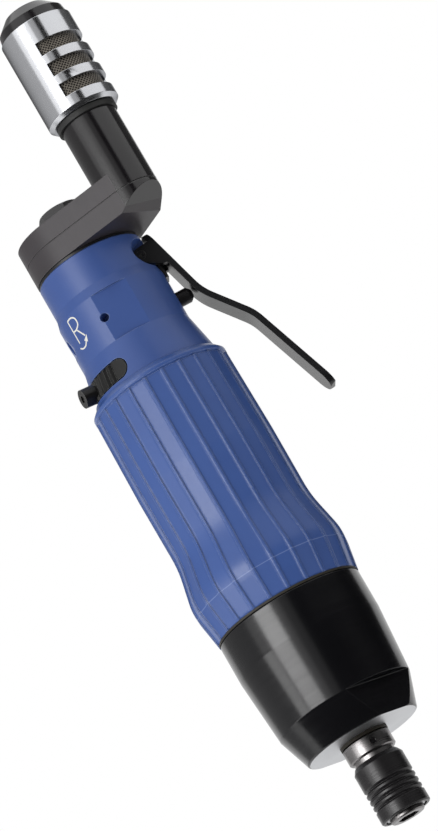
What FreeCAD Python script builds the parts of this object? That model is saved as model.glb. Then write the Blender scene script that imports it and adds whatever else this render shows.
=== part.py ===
"""Straight oil pulse screwdriver with a swivelling air inlet, in millimetres.

The frame: Z is the spindle's axis, from the mouth of the bit socket (the origin) to the rear.
The throttle lever lies on +X. Angles are counted about Z from +X.
Every driving size is a cell of the sheet "Sizes", and each piece is bound to those cells.
"""
import FreeCAD, Part
import math
import os
from types import SimpleNamespace
import Sketcher

# Driving sizes, in millimetres and degrees

SIZES = {
    # bit holder at the nose
    "hex_across": 6.35,
    "hex_clearance": 0.05,
    "socket_depth": 22.0,
    "nose_radius": 5.8,
    "nose_reach": 1.3,
    "nose_edge": 0.4,
    "sleeve_radius": 8.4,
    "sleeve_length": 19.0,
    "sleeve_fit": 0.06,
    "sleeve_pocket_radius": 7.1,
    "shoulder_radius": 6.93,
    "sleeve_land_length": 4.7,
    "sleeve_rear_radius": 7.4,
    "sleeve_rear_length": 1.6,
    "sleeve_groove_first": 4.6,
    "sleeve_groove_pitch": 2.03,
    "sleeve_groove_count": 4,
    "sleeve_groove_depth": 0.65,
    "sleeve_groove_width": 1.4,
    "snap_ring_setback": 0.3,
    "snap_ring_height": 0.8,
    "snap_ring_groove": 0.6,
    "snap_ring_gap_angle": 40.0,
    "snap_ring_turn": 45.0,
    "snap_ring_width": 1.4,
    "sleeve_washer_height": 0.7,
    "sleeve_washer_play": 0.3,
    "sleeve_spring_room": 6.5,
    "sleeve_spring_wire": 0.35,
    "sleeve_spring_turns": 3.0,
    "wire_flats": 8,
    "ball_radius": 1.6,
    "ball_inset": 2.8,
    "ball_play": 0.05,
    "sleeve_gap": 1.5,
    "collar_radius": 8.0,
    "collar_length": 5.3,
    "collar_pin_radius": 1.0,
    "collar_pin_angle": -82.0,
    "collar_pin_recess": 0.8,
    "screw_slot_half": 0.36,
    "screw_slot_depth": 1.0,
    "shaft_radius": 6.45,
    "dust_ring_radius": 8.1,
    "dust_ring_reach": 1.1,
    "dust_ring_seat": 1.0,
    "running_fit": 0.05,
    "end_play": 0.1,
    "insert_fit": 0.04,
    "overcut": 2.0,
    # black pulse housing
    "face_radius": 19.0,
    "cone_radius": 22.8,
    "cone_length": 11.2,
    "taper_length": 21.9,
    "housing_radius": 24.45,
    "housing_edge": 0.8,
    "housing_cylinder_length": 13.0,
    "front_wall": 13.3,
    "cavity_radius": 19.9,
    "thread_length": 12.0,
    "flat_across": 36.0,
    "flat_angle": -53.0,
    "bush_radius": 9.2,
    "bush_flange_radius": 11.0,
    "bush_flange_height": 1.0,
    "bush_step": 0.5,
    "joint_ring_height": 0.7,
    "joint_ring_radius": 24.45,
    # pulse unit
    "case_radius": 18.5,
    "case_front_play": 0.7,
    "case_wall": 2.6,
    "case_front_wall": 4.0,
    "liner_plate_height": 3.0,
    "liner_length": 24.0,
    "liner_minor_radius": 12.0,
    "liner_lobe_radius": 13.6,
    "cover_height": 6.0,
    "drum_radius": 11.6,
    "rear_journal_radius": 5.0,
    "blade_width": 3.0,
    "blade_play": 0.05,
    "blade_tip_play": 0.08,
    "blade_height": 6.2,
    "blade_spring_radius": 1.6,
    "blade_spring_wire": 0.3,
    "blade_spring_turns": 4.0,
    "blade_spring_place": 0.25,
    "drive_across": 8.0,
    "drive_depth": 4.6,
    "relief_screw_radius": 1.8,
    "relief_screw_place": 12.0,
    "o_ring_wire": 0.6,
    "o_ring_gap": 0.02,
    # air motor
    "tube_radius": 21.25,
    "tube_bore": 19.2,
    "motor_fit": 0.04,
    "clamp_gap": 1.6,
    "clamp_height": 4.7,
    "clamp_bore": 14.0,
    "plate_height": 10.0,
    "bearing_bore": 5.0,
    "bearing_radius": 11.0,
    "bearing_height": 7.0,
    "race_wall": 1.9,
    "race_step_radius": 6.2,
    "plate_bore": 6.7,
    "cylinder_length": 34.0,
    "cylinder_bore": 14.5,
    "cylinder_offset": 1.3,
    "inlet_port_count": 4,
    "inlet_port_radius": 2.5,
    "rotor_radius": 13.1,
    "vane_count": 5,
    "vane_width": 2.2,
    "vane_height": 7.0,
    "vane_play": 0.05,
    "dowel_radius": 1.2,
    "dowel_place": 17.3,
    "dowel_reach": 4.0,
    "spacer_wall": 2.6,
    # grip
    "grip_length": 83.9,
    "grip_fit": 0.1,
    "grip_lip_radius": 24.2,
    "grip_bulge_radius": 26.25,
    "grip_bulge_height": 12.5,
    "grip_neck_radius": 23.2,
    "grip_neck_height": 27.3,
    "grip_waist_radius": 23.4,
    "grip_waist_height": 52.0,
    "grip_rear_radius": 22.95,
    "grip_rim_radius": 21.9,
    "grip_rim_height": 1.7,
    "grip_bulge_blend": 20.0,
    "grip_neck_blend": 40.0,
    "facet_half_width": 3.0,
    "facet_base": 0.4,
    "rib_count": 24,
    "rib_width": 1.0,
    "rib_rise": 0.6,
    "rib_end": 3.4,
    # blue valve head
    "flare_length": 13.2,
    "flare_radius": 21.4,
    "head_ring_radius": 18.8,
    "head_ring_length": 16.5,
    "head_chamfer": 3.3,
    "head_radius": 18.0,
    "head_rim_length": 11.5,
    "chamber_radius": 15.1,
    "chamber_depth": 9.5,
    "label_flat_angle": -93.0,
    "label_flat_distance": 17.75,
    "blind_hole_angle": -110.6,
    "blind_hole_height": 8.3,
    "blind_hole_radius": 1.45,
    "blind_hole_depth": 4.0,
    "spot_face_radius": 5.6,
    "spot_face_height": 10.5,
    "spot_face_tilt": 7.0,
    "spot_face_distance": 18.45,
    "port_plug_radius": 2.5,
    "port_plug_length": 6.0,
    "supply_radius": 6.0,
    "strainer_seat": 19.0,
    "supply_depth": 28.0,
    "supply_low_radius": 4.4,
    "exhaust_port_radius": 2.2,
    "exhaust_port_place": 12.4,
    "strainer_height": 5.0,
    "strainer_wall": 0.5,
    # throttle
    "valve_height": 7.4,
    "valve_bore": 4.5,
    "valve_bore_depth": 26.5,
    "bush_front": 17.9,
    "bush_back": 3.0,
    "push_pin_radius": 2.55,
    "push_pin_reach": 23.75,
    "push_pin_chamfer": 1.3,
    "push_pin_back": 10.5,
    "valve_stem_radius": 1.2,
    "valve_disc_radius": 3.9,
    "valve_disc_height": 3.0,
    "valve_wide_play": 0.85,
    "valve_wide_start": 0.5,
    "valve_spring_wire": 0.35,
    "valve_spring_radius": 2.6,
    "valve_spring_turns": 4.0,
    "outlet_port_radius": 1.8,
    "outlet_port_place": 7.0,
    # throttle lever
    "pin_inset": 2.9,
    "pin_drop": 6.6,
    "pin_radius": 1.5,
    "pin_bore": 0.55,
    "lever_half_width": 5.2,
    "lever_sheet": 2.0,
    "lug_half_width": 3.15,
    "ear_gap": 0.1,
    "ear_radius": 2.6,
    "ear_top_x": 5.3,
    "ear_top_z": 3.2,
    "ear_end_x": 5.45,
    "ear_end_z": 5.9,
    "heel_x": 5.0,
    "heel_z": 6.3,
    "lever_bend_x": 11.66,
    "lever_bend_z": 18.9,
    "lever_knee_x": 22.7,
    "lever_knee_z": 33.5,
    "lever_tip_x": 33.4,
    "lever_tip_z": 65.4,
    "lever_bend_radius": 18.0,
    "lever_knee_radius": 17.0,
    "lever_tip_round": 4.4,
    "tongue_round": 3.9,
    "ear_upper_angle": 96.3,
    "ear_lower_angle": 241.6,
    "scallop_radius": 5.3,
    "scallop_x": 2.3,
    "scallop_z": 0.5,
    "stop_width": 6.0,
    "stop_reach": 19.7,
    "bolt_play": 0.05,
    "stop_depth": 4.2,
    "stop_drop": 16.3,
    "stop_height": 4.4,
    "stop_round": 0.6,
    # reversing lever
    "pocket_height": 6.9,
    "pocket_place": 4.75,
    "pocket_floor": 17.0,
    "slider_end_angle": -122.2,
    "knob_angle": -166.4,
    "reverse_travel": 30.0,
    "slider_play": 0.35,
    "slider_proud": 0.15,
    "slider_groove_count": 5,
    "slider_groove_pitch": 7.3,
    "slider_groove_first": 6.5,
    "slider_groove_width": 1.7,
    "slider_groove_depth": 0.8,
    "slider_overlap_angle": 24.0,
    "slider_round_share": 0.96,
    "knob_seat_setback": 0.3,
    "knob_play": 0.01,
    "knob_reach": 24.6,
    "knob_shank_radius": 1.95,
    "knob_shank_end": 12.2,
    "knob_slot_step": 0.5,
    "knob_socket_across": 2.5,
    "knob_socket_depth": 2.2,
    "reverse_ring_height": 8.0,
    "reverse_ring_bore": 10.8,
    "detent_ball_radius": 1.2,
    "detent_place": 13.0,
    "detent_angle": 60.0,
    "detent_depth": 5.5,
    "detent_groove": 0.3,
    "detent_groove_half_width": 1.2,
    "detent_spring_wire": 0.2,
    "detent_spring_turns": 3.0,
    # swivel arm with its riser
    "swivel_washer_height": 0.9,
    "swivel_washer_radius": 17.6,
    "swivel_washer_bore": 14.9,
    "arm_height": 13.3,
    "arm_reach": 28.9,
    "arm_angle": -47.0,
    "riser_radius": 9.45,
    "riser_length": 22.85,
    "riser_bore": 7.35,
    "neck_radius": 8.4,
    "neck_length": 27.5,
    "neck_port_radius": 2.2,
    "neck_port_first": 5.5,
    "neck_port_pitch": 6.0,
    "round_end_gap": 0.05,
    "arm_chamfer_angle": 6.0,
    "arm_chamfer_start": 28.6,
    "arm_chamfer_slope": 30.0,
    "arm_duct_radius": 2.8,
    "arm_duct_height": 7.0,
    "arm_groove_depth": 2.4,
    "arm_groove_width": 4.4,
    "supply_recess_radius": 7.6,
    "supply_recess_land": 0.4,
    "exhaust_duct_side": 5.2,
    "exhaust_duct_width": 3.0,
    "scribe_height": 6.75,
    "scribe_width": 0.3,
    "scribe_depth": 0.25,
    "bolt_across": 14.0,
    "bolt_head_height": 6.3,
    "bolt_radius": 5.95,
    "bolt_bore": 3.0,
    "bolt_thread_length": 13.5,
    "bolt_turn": -20.5,
    "bolt_chamfer": 2.0,
    "bolt_chamfer_fall": 1.26,
    "bolt_port_radius": 1.95,
    "pipe_radius": 4.9,
    "pipe_wall": 1.0,
    # silencer and inlet
    "collar_ring_radius": 10.3,
    "collar_ring_height": 1.9,
    "silencer_radius": 12.3,
    "silencer_length": 32.9,
    "silencer_wall": 1.9,
    "silencer_lip": 2.0,
    "silencer_chamfer": 1.2,
    "silencer_gap": 0.1,
    "silencer_fit": 0.08,
    "slot_first": 4.7,
    "slot_height": 4.65,
    "slot_pitch": 7.8,
    "slot_count": 3,
    "slot_half_angle": 62.0,
    "strainer_hole_radius": 0.8,
    "mesh_wall": 0.5,
    "cap_radius": 11.8,
    "cap_band_height": 3.2,
    "cap_taper": 0.5,
    "cap_cone_height": 3.9,
    "cap_top_radius": 7.3,
    "cap_skirt_radius": 9.9,
    "inlet_thread_radius": 5.72,
    "inlet_thread_length": 13.0,
    "inlet_stem_length": 12.0,
    "inlet_low_bore": 4.4,
    "strainer_rim": 0.8,
}


class Size:
    """A length or an angle, with the sheet formula that gives it."""

    def __init__(self, value, formula=None):
        self.value = float(value)
        self.formula = formula or repr(float(value))

    def __add__(self, other):
        other = as_size(other)
        return Size(self.value + other.value, f"({self.formula} + {other.formula})")

    def __sub__(self, other):
        other = as_size(other)
        return Size(self.value - other.value, f"({self.formula} - {other.formula})")

    def __mul__(self, other):
        other = as_size(other)
        return Size(self.value * other.value, f"({self.formula} * {other.formula})")

    def __truediv__(self, other):
        other = as_size(other)
        return Size(self.value / other.value, f"({self.formula} / {other.formula})")

    def __radd__(self, other):
        return as_size(other) + self

    def __rsub__(self, other):
        return as_size(other) - self

    def __rmul__(self, other):
        return as_size(other) * self

    def __neg__(self):
        return as_size(0) - self


def as_size(number):
    return number if isinstance(number, Size) else Size(number)


def cosine(angle):
    angle = as_size(angle)
    return Size(math.cos(math.radians(angle.value)), f"cos({angle.formula})")


def sine(angle):
    angle = as_size(angle)
    return Size(math.sin(math.radians(angle.value)), f"sin({angle.formula})")


def root(number):
    return Size(math.sqrt(number.value), f"sqrt({number.formula})")


doc = FreeCAD.newDocument("oil_pulse_screwdriver")
sheet = doc.addObject("Spreadsheet::Sheet", "Sizes")
for row, (alias, value) in enumerate(SIZES.items(), start=1):
    sheet.set(f"A{row}", alias.replace("_", " "))
    sheet.set(f"B{row}", str(value))
    sheet.setAlias(f"B{row}", alias)
doc.recompute()
S = SimpleNamespace(**{name: Size(value, "Sizes." + name) for name, value in SIZES.items()})
derived_row = len(SIZES) + 2


def keep(name, size):
    """Adds a derived size to the sheet as a formula cell, and returns it by its name."""
    global derived_row
    sheet.set(f"A{derived_row}", name.replace("_", " "))
    sheet.set(f"B{derived_row}", "=" + size.formula.replace("Sizes.", ""))
    sheet.setAlias(f"B{derived_row}", name)
    derived_row += 1
    return Size(size.value, "Sizes." + name)


def bind(thing, path, length):
    """Ties one property of an object to its formula."""
    if isinstance(length, Size) and "Sizes." in length.formula:
        thing.setExpression(path, length.formula)


class Outline:
    """A sketch whose corners, circles and roundings are tied to the sheet."""

    def __init__(self, sketch, lowered=0):
        self.sketch = sketch
        self.lowered = as_size(lowered)

    def hold(self, limits):
        """Adds all the limits of an outline in one step, each with the formula of its length."""
        first = self.sketch.ConstraintCount
        self.sketch.addConstraint([limit for limit, length in limits])
        for index, (limit, length) in enumerate(limits):
            if length is not None:
                bind(self.sketch, f"Constraints[{first + index}]", length)

    def limit(self, kind, *where, length=None):
        if length is None:
            return Sketcher.Constraint(kind, *where), None
        return Sketcher.Constraint(kind, *where, length.value), length

    def at_point(self, geometry, end, x, y):
        across = self.limit("DistanceX", -1, 1, geometry, end, length=x)
        up = self.limit("DistanceY", -1, 1, geometry, end, length=y)
        return [across, up]

    def circle(self, x, y, radius):
        x, y, radius = as_size(x), as_size(y) - self.lowered, as_size(radius)
        centre = FreeCAD.Vector(x.value, y.value, 0)
        curve = self.sketch.addGeometry(Part.Circle(centre, FreeCAD.Vector(0, 0, 1), radius.value))
        self.hold([self.limit("Radius", curve, length=radius)] + self.at_point(curve, 3, x, y))

    def loop(self, corners):
        """Closed outline through corners (x, y) or (x, y, radius of the rounding there)."""
        corners = [tuple(as_size(number) for number in corner) for corner in corners]
        corners = [(corner[0], corner[1] - self.lowered) + corner[2:] for corner in corners]
        points = [FreeCAD.Vector(corner[0].value, corner[1].value, 0) for corner in corners]
        count = len(corners)
        leave, reach, arcs = [], [], []
        for index, corner in enumerate(corners):
            here, before, after = points[index], points[index - 1], points[(index + 1) % count]
            if len(corner) < 3:
                leave.append(here)
                reach.append(here)
                arcs.append(None)
                continue
            back = (before - here).normalize()
            ahead = (after - here).normalize()
            half = back.getAngle(ahead) / 2
            radius = corner[2].value
            run = radius / math.tan(half)
            centre = here + (back + ahead).normalize() * (radius / math.sin(half))
            reach.append(here + back * run)
            leave.append(here + ahead * run)
            arcs.append((reach[-1], centre, leave[-1]))
        first = self.sketch.GeometryCount
        for index in range(count):
            self.sketch.addGeometry(Part.LineSegment(leave[index], reach[(index + 1) % count]))
        limits = []
        for index, corner in enumerate(corners):
            arriving = first + (index - 1) % count
            leaving = first + index
            if arcs[index] is None:
                limits.append(self.limit("Coincident", arriving, 2, leaving, 1))
                limits += self.at_point(leaving, 1, corner[0], corner[1])
            else:
                limits += self.rounding(arriving, leaving, arcs[index], corner)
        self.hold(limits)

    def rounding(self, arriving, leaving, arc, corner):
        """Rounds one corner: an arc tangent to both lines, which still aim at the corner."""
        start, centre, end = arc
        first_angle = math.atan2(start.y - centre.y, start.x - centre.x)
        last_angle = math.atan2(end.y - centre.y, end.x - centre.x)
        turn = (last_angle - first_angle) % (2 * math.pi)
        forward = turn < math.pi
        if not forward:
            first_angle, turn = last_angle, 2 * math.pi - turn
        circle = Part.Circle(centre, FreeCAD.Vector(0, 0, 1), corner[2].value)
        curve = self.sketch.addGeometry(Part.ArcOfCircle(circle, first_angle, first_angle + turn))
        first_end, last_end = (1, 2) if forward else (2, 1)
        place = FreeCAD.Vector(corner[0].value, corner[1].value, 0)
        aim = self.sketch.addGeometry(Part.Point(place), True)
        return [
            self.limit("Tangent", arriving, 2, curve, first_end),
            self.limit("Tangent", leaving, 1, curve, last_end),
            self.limit("PointOnObject", aim, 1, arriving),
            self.limit("PointOnObject", aim, 1, leaving),
            self.limit("Radius", curve, length=corner[2]),
            *self.at_point(aim, 1, corner[0], corner[1]),
        ]

    def polygon(self, count, across, turn=0):
        """Regular polygon about the origin, given its width across flats."""
        radius = across / 2 / cosine(180 / count)
        angles = [as_size(turn) + 360 * index / count for index in range(count)]
        self.loop([(radius * cosine(angle), radius * sine(angle)) for angle in angles])


class Piece:
    """One sub-part, made as a body at its own base height. All heights given are the frame's."""

    def __init__(self, node, base=0):
        self.body = doc.addObject("PartDesign::Body", node)
        self.body.Label = node
        self.base = as_size(base)
        place_object(self.body, z=self.base)

    def origin(self, role):
        return next(item for item in self.body.Origin.OriginFeatures if item.Role == role)

    def sketch(self, role, turn=0, height=0, reach=0):
        """Sketch on XY (turned about Z, at a height), XZ or YZ (turned about Z, at a reach)."""
        sketch = self.body.newObject("Sketcher::SketchObject", "outline")
        sketch.AttachmentSupport = [(self.origin(role + "_Plane"), "")]
        sketch.MapMode = "FlatFace"
        turn, height, reach = as_size(turn), as_size(height), as_size(reach)
        upright = role != "XY"
        axis = FreeCAD.Vector(0, 1, 0) if upright else FreeCAD.Vector(0, 0, 1)
        base = {"x": as_size(0), "y": as_size(0), "z": height - self.base}
        if upright:
            base = {"x": reach * sine(turn), "y": as_size(0), "z": reach * cosine(turn)}
        vector = FreeCAD.Vector(base["x"].value, base["y"].value, base["z"].value)
        sketch.AttachmentOffset = FreeCAD.Placement(vector, FreeCAD.Rotation(axis, turn.value))
        for letter, length in base.items():
            bind(sketch, "AttachmentOffset.Base." + letter, length)
        if turn.value:
            bind(sketch, "AttachmentOffset.Rotation.Angle", turn)
        return Outline(sketch, self.base if upright else 0)

    def add(self, kind, outline, **settings):
        feature = self.body.newObject("PartDesign::" + kind, kind.lower())
        feature.Profile = outline.sketch
        for name, value in settings.items():
            if isinstance(value, Size):
                setattr(feature, name, value.value)
                bind(feature, name, value)
            else:
                setattr(feature, name, value)
        return feature

    def turned(self, corners, kind="Revolution", turn=0, angle=None):
        outline = self.sketch("XZ", turn=turn)
        outline.loop(corners)
        feature = self.add(kind, outline)
        feature.ReferenceAxis = (outline.sketch, ["V_Axis"])
        feature.Angle = 360
        if angle is not None:
            feature.Midplane = True
            feature.Angle = angle.value
            bind(feature, "Angle", angle)
        return feature

    def groove(self, corners, turn=0, angle=None):
        return self.turned(corners, "Groove", turn, angle)

    def pad(self, outline, length, symmetric=False):
        return self.add("Pad", outline, Length=length, SideType="Symmetric" if symmetric else "One side")

    def pocket(self, outline, length, symmetric=False, outward=False):
        side = "Symmetric" if symmetric else "One side"
        return self.add("Pocket", outline, Length=length, SideType=side, Reversed=outward)

    def drill(self, radius, low, length, x=0, y=0, turn=0):
        """Round hole along Z, from a low height upwards."""
        outline = self.sketch("XY", turn=turn, height=low)
        outline.circle(x, y, radius)
        return self.pocket(outline, length, outward=True)

    def drill_out(self, radius, turn, height, start, length):
        """Round radial hole, from a start radius outwards."""
        outline = self.sketch("YZ", turn=turn, reach=start)
        outline.circle(0, height, radius)
        return self.pocket(outline, length, outward=True)

    def repeat(self, features, count):
        pattern = self.body.newObject("PartDesign::PolarPattern", "repeat")
        pattern.Originals = list(features)
        pattern.Axis = (self.origin("Z_Axis"), [""])
        pattern.Angle = 360
        pattern.Occurrences = int(count.value)
        bind(pattern, "Occurrences", count)
        self.body.Tip = pattern
        return pattern


def place_object(thing, x=0, y=0, z=0, yaw=0, pitch=0):
    x, y, z, yaw, pitch = (as_size(number) for number in (x, y, z, yaw, pitch))
    rotation = FreeCAD.Rotation(yaw.value, pitch.value, 0)
    thing.Placement = FreeCAD.Placement(FreeCAD.Vector(x.value, y.value, z.value), rotation)
    for letter, length in (("x", x), ("y", y), ("z", z)):
        bind(thing, "Placement.Base." + letter, length)


# Heights along the spindle's axis, each from the one before it

sleeve_low = keep("sleeve_low", S.nose_reach)
sleeve_high = keep("sleeve_high", sleeve_low + S.sleeve_length)
snap_ring_low = keep("snap_ring_low", sleeve_low + S.snap_ring_setback)
washer_low = keep("washer_low", snap_ring_low + S.snap_ring_height)
spring_low = keep("spring_low", washer_low + S.sleeve_washer_height)
land_low = keep("land_low", spring_low + S.sleeve_spring_room)
land_high = keep("land_high", land_low + S.sleeve_land_length)
ball_level = keep("ball_level", land_low + S.ball_inset)
shoulder_low = keep("shoulder_low", land_high + S.running_fit)
collar_low = keep("collar_low", sleeve_high + S.sleeve_gap)
collar_high = keep("collar_high", collar_low + S.collar_length)
face_height = keep("face_height", collar_high + S.dust_ring_reach)
cone_high = keep("cone_high", face_height + S.cone_length)
taper_high = keep("taper_high", cone_high + S.taper_length)
housing_high = keep("housing_high", taper_high + S.housing_cylinder_length)
cavity_low = keep("cavity_low", face_height + S.front_wall)
tube_low = keep("tube_low", housing_high - S.thread_length)
case_low = keep("case_low", cavity_low + S.case_front_play)
front_plate_low = keep("front_plate_low", case_low + S.case_front_wall)
liner_low = keep("liner_low", front_plate_low + S.liner_plate_height)
liner_high = keep("liner_high", liner_low + S.liner_length)
cover_low = keep("cover_low", liner_high + S.liner_plate_height)
case_high = keep("case_high", cover_low + S.cover_height)
clamp_low = keep("clamp_low", case_high + S.clamp_gap)
motor_low = keep("motor_low", clamp_low + S.clamp_height)
cylinder_low = keep("cylinder_low", motor_low + S.plate_height)
cylinder_high = keep("cylinder_high", cylinder_low + S.cylinder_length)
motor_high = keep("motor_high", cylinder_high + S.plate_height)
grip_low = keep("grip_low", housing_high + S.joint_ring_height)
grip_high = keep("grip_high", grip_low + S.grip_length)
flare_high = keep("flare_high", grip_high + S.flare_length)
ring_high = keep("ring_high", flare_high + S.head_ring_length)
chamfer_high = keep("chamfer_high", ring_high + S.head_chamfer)
head_high = keep("head_high", chamfer_high + S.head_rim_length)
chamber_high = keep("chamber_high", grip_high + S.chamber_depth)
pocket_level = keep("pocket_level", grip_high + S.pocket_place)
valve_level = keep("valve_level", flare_high + S.valve_height)
arm_low = keep("arm_low", head_high + S.swivel_washer_height + S.running_fit)
arm_high = keep("arm_high", arm_low + S.arm_height)
riser_high = keep("riser_high", arm_high + S.riser_length)
neck_high = keep("neck_high", riser_high + S.neck_length)
silencer_low = keep("silencer_low", riser_high + S.silencer_gap)
silencer_high = keep("silencer_high", silencer_low + S.silencer_length)
cap_low = keep("cap_low", silencer_high + S.silencer_gap)
cap_high = keep("cap_high", cap_low + S.cap_band_height + S.cap_cone_height)
riser_x = keep("riser_x", S.arm_reach * cosine(S.arm_angle))
riser_y = keep("riser_y", S.arm_reach * sine(S.arm_angle))
pin_x = keep("pin_x", S.head_radius - S.pin_inset)
pin_z = keep("pin_z", head_high - S.pin_drop)
flare_slope = keep("flare_slope", (S.flare_radius - S.head_ring_radius) / S.flare_length)


def flare_at(height):
    """Radius of the head's flare at a height between the grip and the head's ring."""
    return S.flare_radius - (height - grip_high) * flare_slope


def simple(kind, node, base, turn=0, x=0, y=0, pitch=0, **sizes):
    """Part primitive tied to the sheet, placed at a base height."""
    thing = doc.addObject("Part::" + kind, node)
    thing.Label = node
    for name, size in sizes.items():
        setattr(thing, name, as_size(size).value)
        bind(thing, name, size)
    place_object(thing, x=x, y=y, z=base, yaw=turn, pitch=pitch)
    return thing


def ring(node, inner, outer, low, high):
    """Plain ring about Z between two heights."""
    piece = Piece(node, low)
    piece.turned([(inner, low), (outer, low), (outer, high), (inner, high)])
    return piece


def o_ring(node, bore, level, x=0, y=0, pitch=0):
    """Round-section seal just inside a bore."""
    middle = bore - S.o_ring_wire - S.o_ring_gap
    return simple("Torus", node, level, x=x, y=y, pitch=pitch, Radius1=middle, Radius2=S.o_ring_wire)


def spring(node, radius, wire, length, turns, base, x=0, pitch=0):
    """Spring between two flat faces, swept along a helix from a wire with narrow flats."""
    helix = doc.addObject("Part::Helix", node + "_path")
    rise = length - wire * 2
    for name, size in (("Radius", radius), ("Height", rise), ("Pitch", rise / turns)):
        setattr(helix, name, size.value)
        bind(helix, name, size)
    helix.Placement.Base = FreeCAD.Vector(0, 0, wire.value)
    bind(helix, "Placement.Base.z", wire)
    section = doc.addObject("Part::RegularPolygon", node + "_section")
    section.Polygon = int(S.wire_flats.value)
    section.Circumradius = wire.value
    bind(section, "Polygon", S.wire_flats)
    bind(section, "Circumradius", wire)
    turned_up = FreeCAD.Rotation(FreeCAD.Vector(1, 0, 0), 90)
    section.Placement = FreeCAD.Placement(FreeCAD.Vector(radius.value, 0, wire.value), turned_up)
    bind(section, "Placement.Base.x", radius)
    bind(section, "Placement.Base.z", wire)
    sweep = doc.addObject("Part::Sweep", node)
    sweep.Label = node
    sweep.Sections = [section]
    sweep.Spine = (helix, [])
    sweep.Solid = True
    sweep.Frenet = True
    place_object(sweep, x=x, z=base, pitch=pitch)
    return sweep


def join(node, things):
    """Several separate solids kept as one sub-part."""
    union = doc.addObject("Part::MultiFuse", node)
    union.Label = node
    union.Shapes = things
    return union


# Bit holder: spindle with hex socket, retaining ball, sliding sleeve and collar

spindle = Piece("anvil_shaft")
drum_low = liner_low + S.end_play
drum_high = liner_high - S.end_play
journal_end = cover_low - S.end_play
ring_seat = S.nose_radius - S.snap_ring_groove
seal_seat = S.shaft_radius - S.o_ring_wire * 2 - S.o_ring_gap
seal_level = keep("seal_level", case_low + S.case_front_wall / 2)
spindle.turned([
    (0, 0),
    (S.nose_radius - S.nose_edge, 0),
    (S.nose_radius, S.nose_edge),
    (S.nose_radius, snap_ring_low),
    (ring_seat, snap_ring_low),
    (ring_seat, washer_low),
    (S.nose_radius, washer_low),
    (S.nose_radius, shoulder_low),
    (S.shoulder_radius, shoulder_low),
    (S.shoulder_radius, collar_low),
    (S.shaft_radius, collar_low),
    (S.shaft_radius, seal_level - S.o_ring_wire),
    (seal_seat, seal_level - S.o_ring_wire),
    (seal_seat, seal_level + S.o_ring_wire),
    (S.shaft_radius, seal_level + S.o_ring_wire),
    (S.shaft_radius, drum_low),
    (S.drum_radius, drum_low),
    (S.drum_radius, drum_high),
    (S.rear_journal_radius, drum_high),
    (S.rear_journal_radius, journal_end),
    (0, journal_end),
])
outline = spindle.sketch("XY")
outline.polygon(6, S.hex_across + S.hex_clearance * 2)
spindle.pocket(outline, S.socket_depth, outward=True)
spindle.drill_out(S.ball_radius + S.ball_play, 90, ball_level, 0, S.shoulder_radius)
outline = spindle.sketch("YZ", turn=S.collar_pin_angle)
pin_level = keep("pin_level", collar_low + S.collar_length / 2)
outline.circle(0, pin_level, S.collar_pin_radius)
spindle.pocket(outline, S.collar_radius * 2, symmetric=True)
blade_inner = keep("blade_inner", S.liner_lobe_radius - S.blade_tip_play - S.blade_height)
slots = []
for side in (-1, 1):
    outline = spindle.sketch("XY", height=drum_low)
    half = S.blade_width / 2 + S.blade_play
    near = blade_inner * side
    far = S.liner_lobe_radius * side
    outline.loop([(-half, near), (half, near), (half, far), (-half, far)])
    slots.append(spindle.pocket(outline, S.liner_length - S.end_play * 2, outward=True))
spring_places = (S.blade_spring_place, 1 - S.blade_spring_place)
spring_room = S.blade_spring_radius + S.blade_spring_wire * 2
for part_way in spring_places:
    outline = spindle.sketch("XZ")
    outline.circle(0, drum_low + S.liner_length * part_way, spring_room)
    spindle.pocket(outline, blade_inner * 2, symmetric=True)

ball_place = S.nose_radius + S.sleeve_fit - S.ball_play - S.ball_radius
simple("Sphere", "retaining_ball", ball_level, y=ball_place, Radius=S.ball_radius)

sleeve = Piece("bit_sleeve", sleeve_low)
corners = [(S.sleeve_pocket_radius, sleeve_low), (S.sleeve_radius - S.nose_edge, sleeve_low)]
corners.append((S.sleeve_radius, sleeve_low + S.nose_edge))
for index in range(int(S.sleeve_groove_count.value)):
    level = sleeve_low + S.sleeve_groove_first + S.sleeve_groove_pitch * index
    corners.append((S.sleeve_radius, level - S.sleeve_groove_width / 2))
    corners.append((S.sleeve_radius - S.sleeve_groove_depth, level))
    corners.append((S.sleeve_radius, level + S.sleeve_groove_width / 2))
sleeve_bore = S.nose_radius + S.sleeve_fit
sleeve_relief = S.shoulder_radius + S.sleeve_fit
corners += [
    (S.sleeve_radius, sleeve_high - S.sleeve_rear_length),
    (S.sleeve_rear_radius, sleeve_high),
    (sleeve_relief, sleeve_high),
    (sleeve_relief, land_high),
    (sleeve_bore, land_high),
    (sleeve_bore, land_low),
    (S.sleeve_pocket_radius, land_low),
]
sleeve.turned(corners)

snap_inner = ring_seat - S.snap_ring_groove
snap = ring("snap_ring", ring_seat, ring_seat + S.snap_ring_width, snap_ring_low, washer_low)
snap.groove([
    (snap_inner, snap_ring_low),
    (S.shoulder_radius, snap_ring_low),
    (S.shoulder_radius, washer_low),
    (snap_inner, washer_low),
], turn=S.snap_ring_turn, angle=S.snap_ring_gap_angle)
washer_radius = S.sleeve_pocket_radius - S.sleeve_washer_play
ring("sleeve_washer", S.nose_radius, washer_radius, washer_low, spring_low)
spring(
    "sleeve_spring",
    (S.nose_radius + S.sleeve_pocket_radius) / 2,
    S.sleeve_spring_wire,
    S.sleeve_spring_room,
    S.sleeve_spring_turns,
    spring_low,
)

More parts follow.
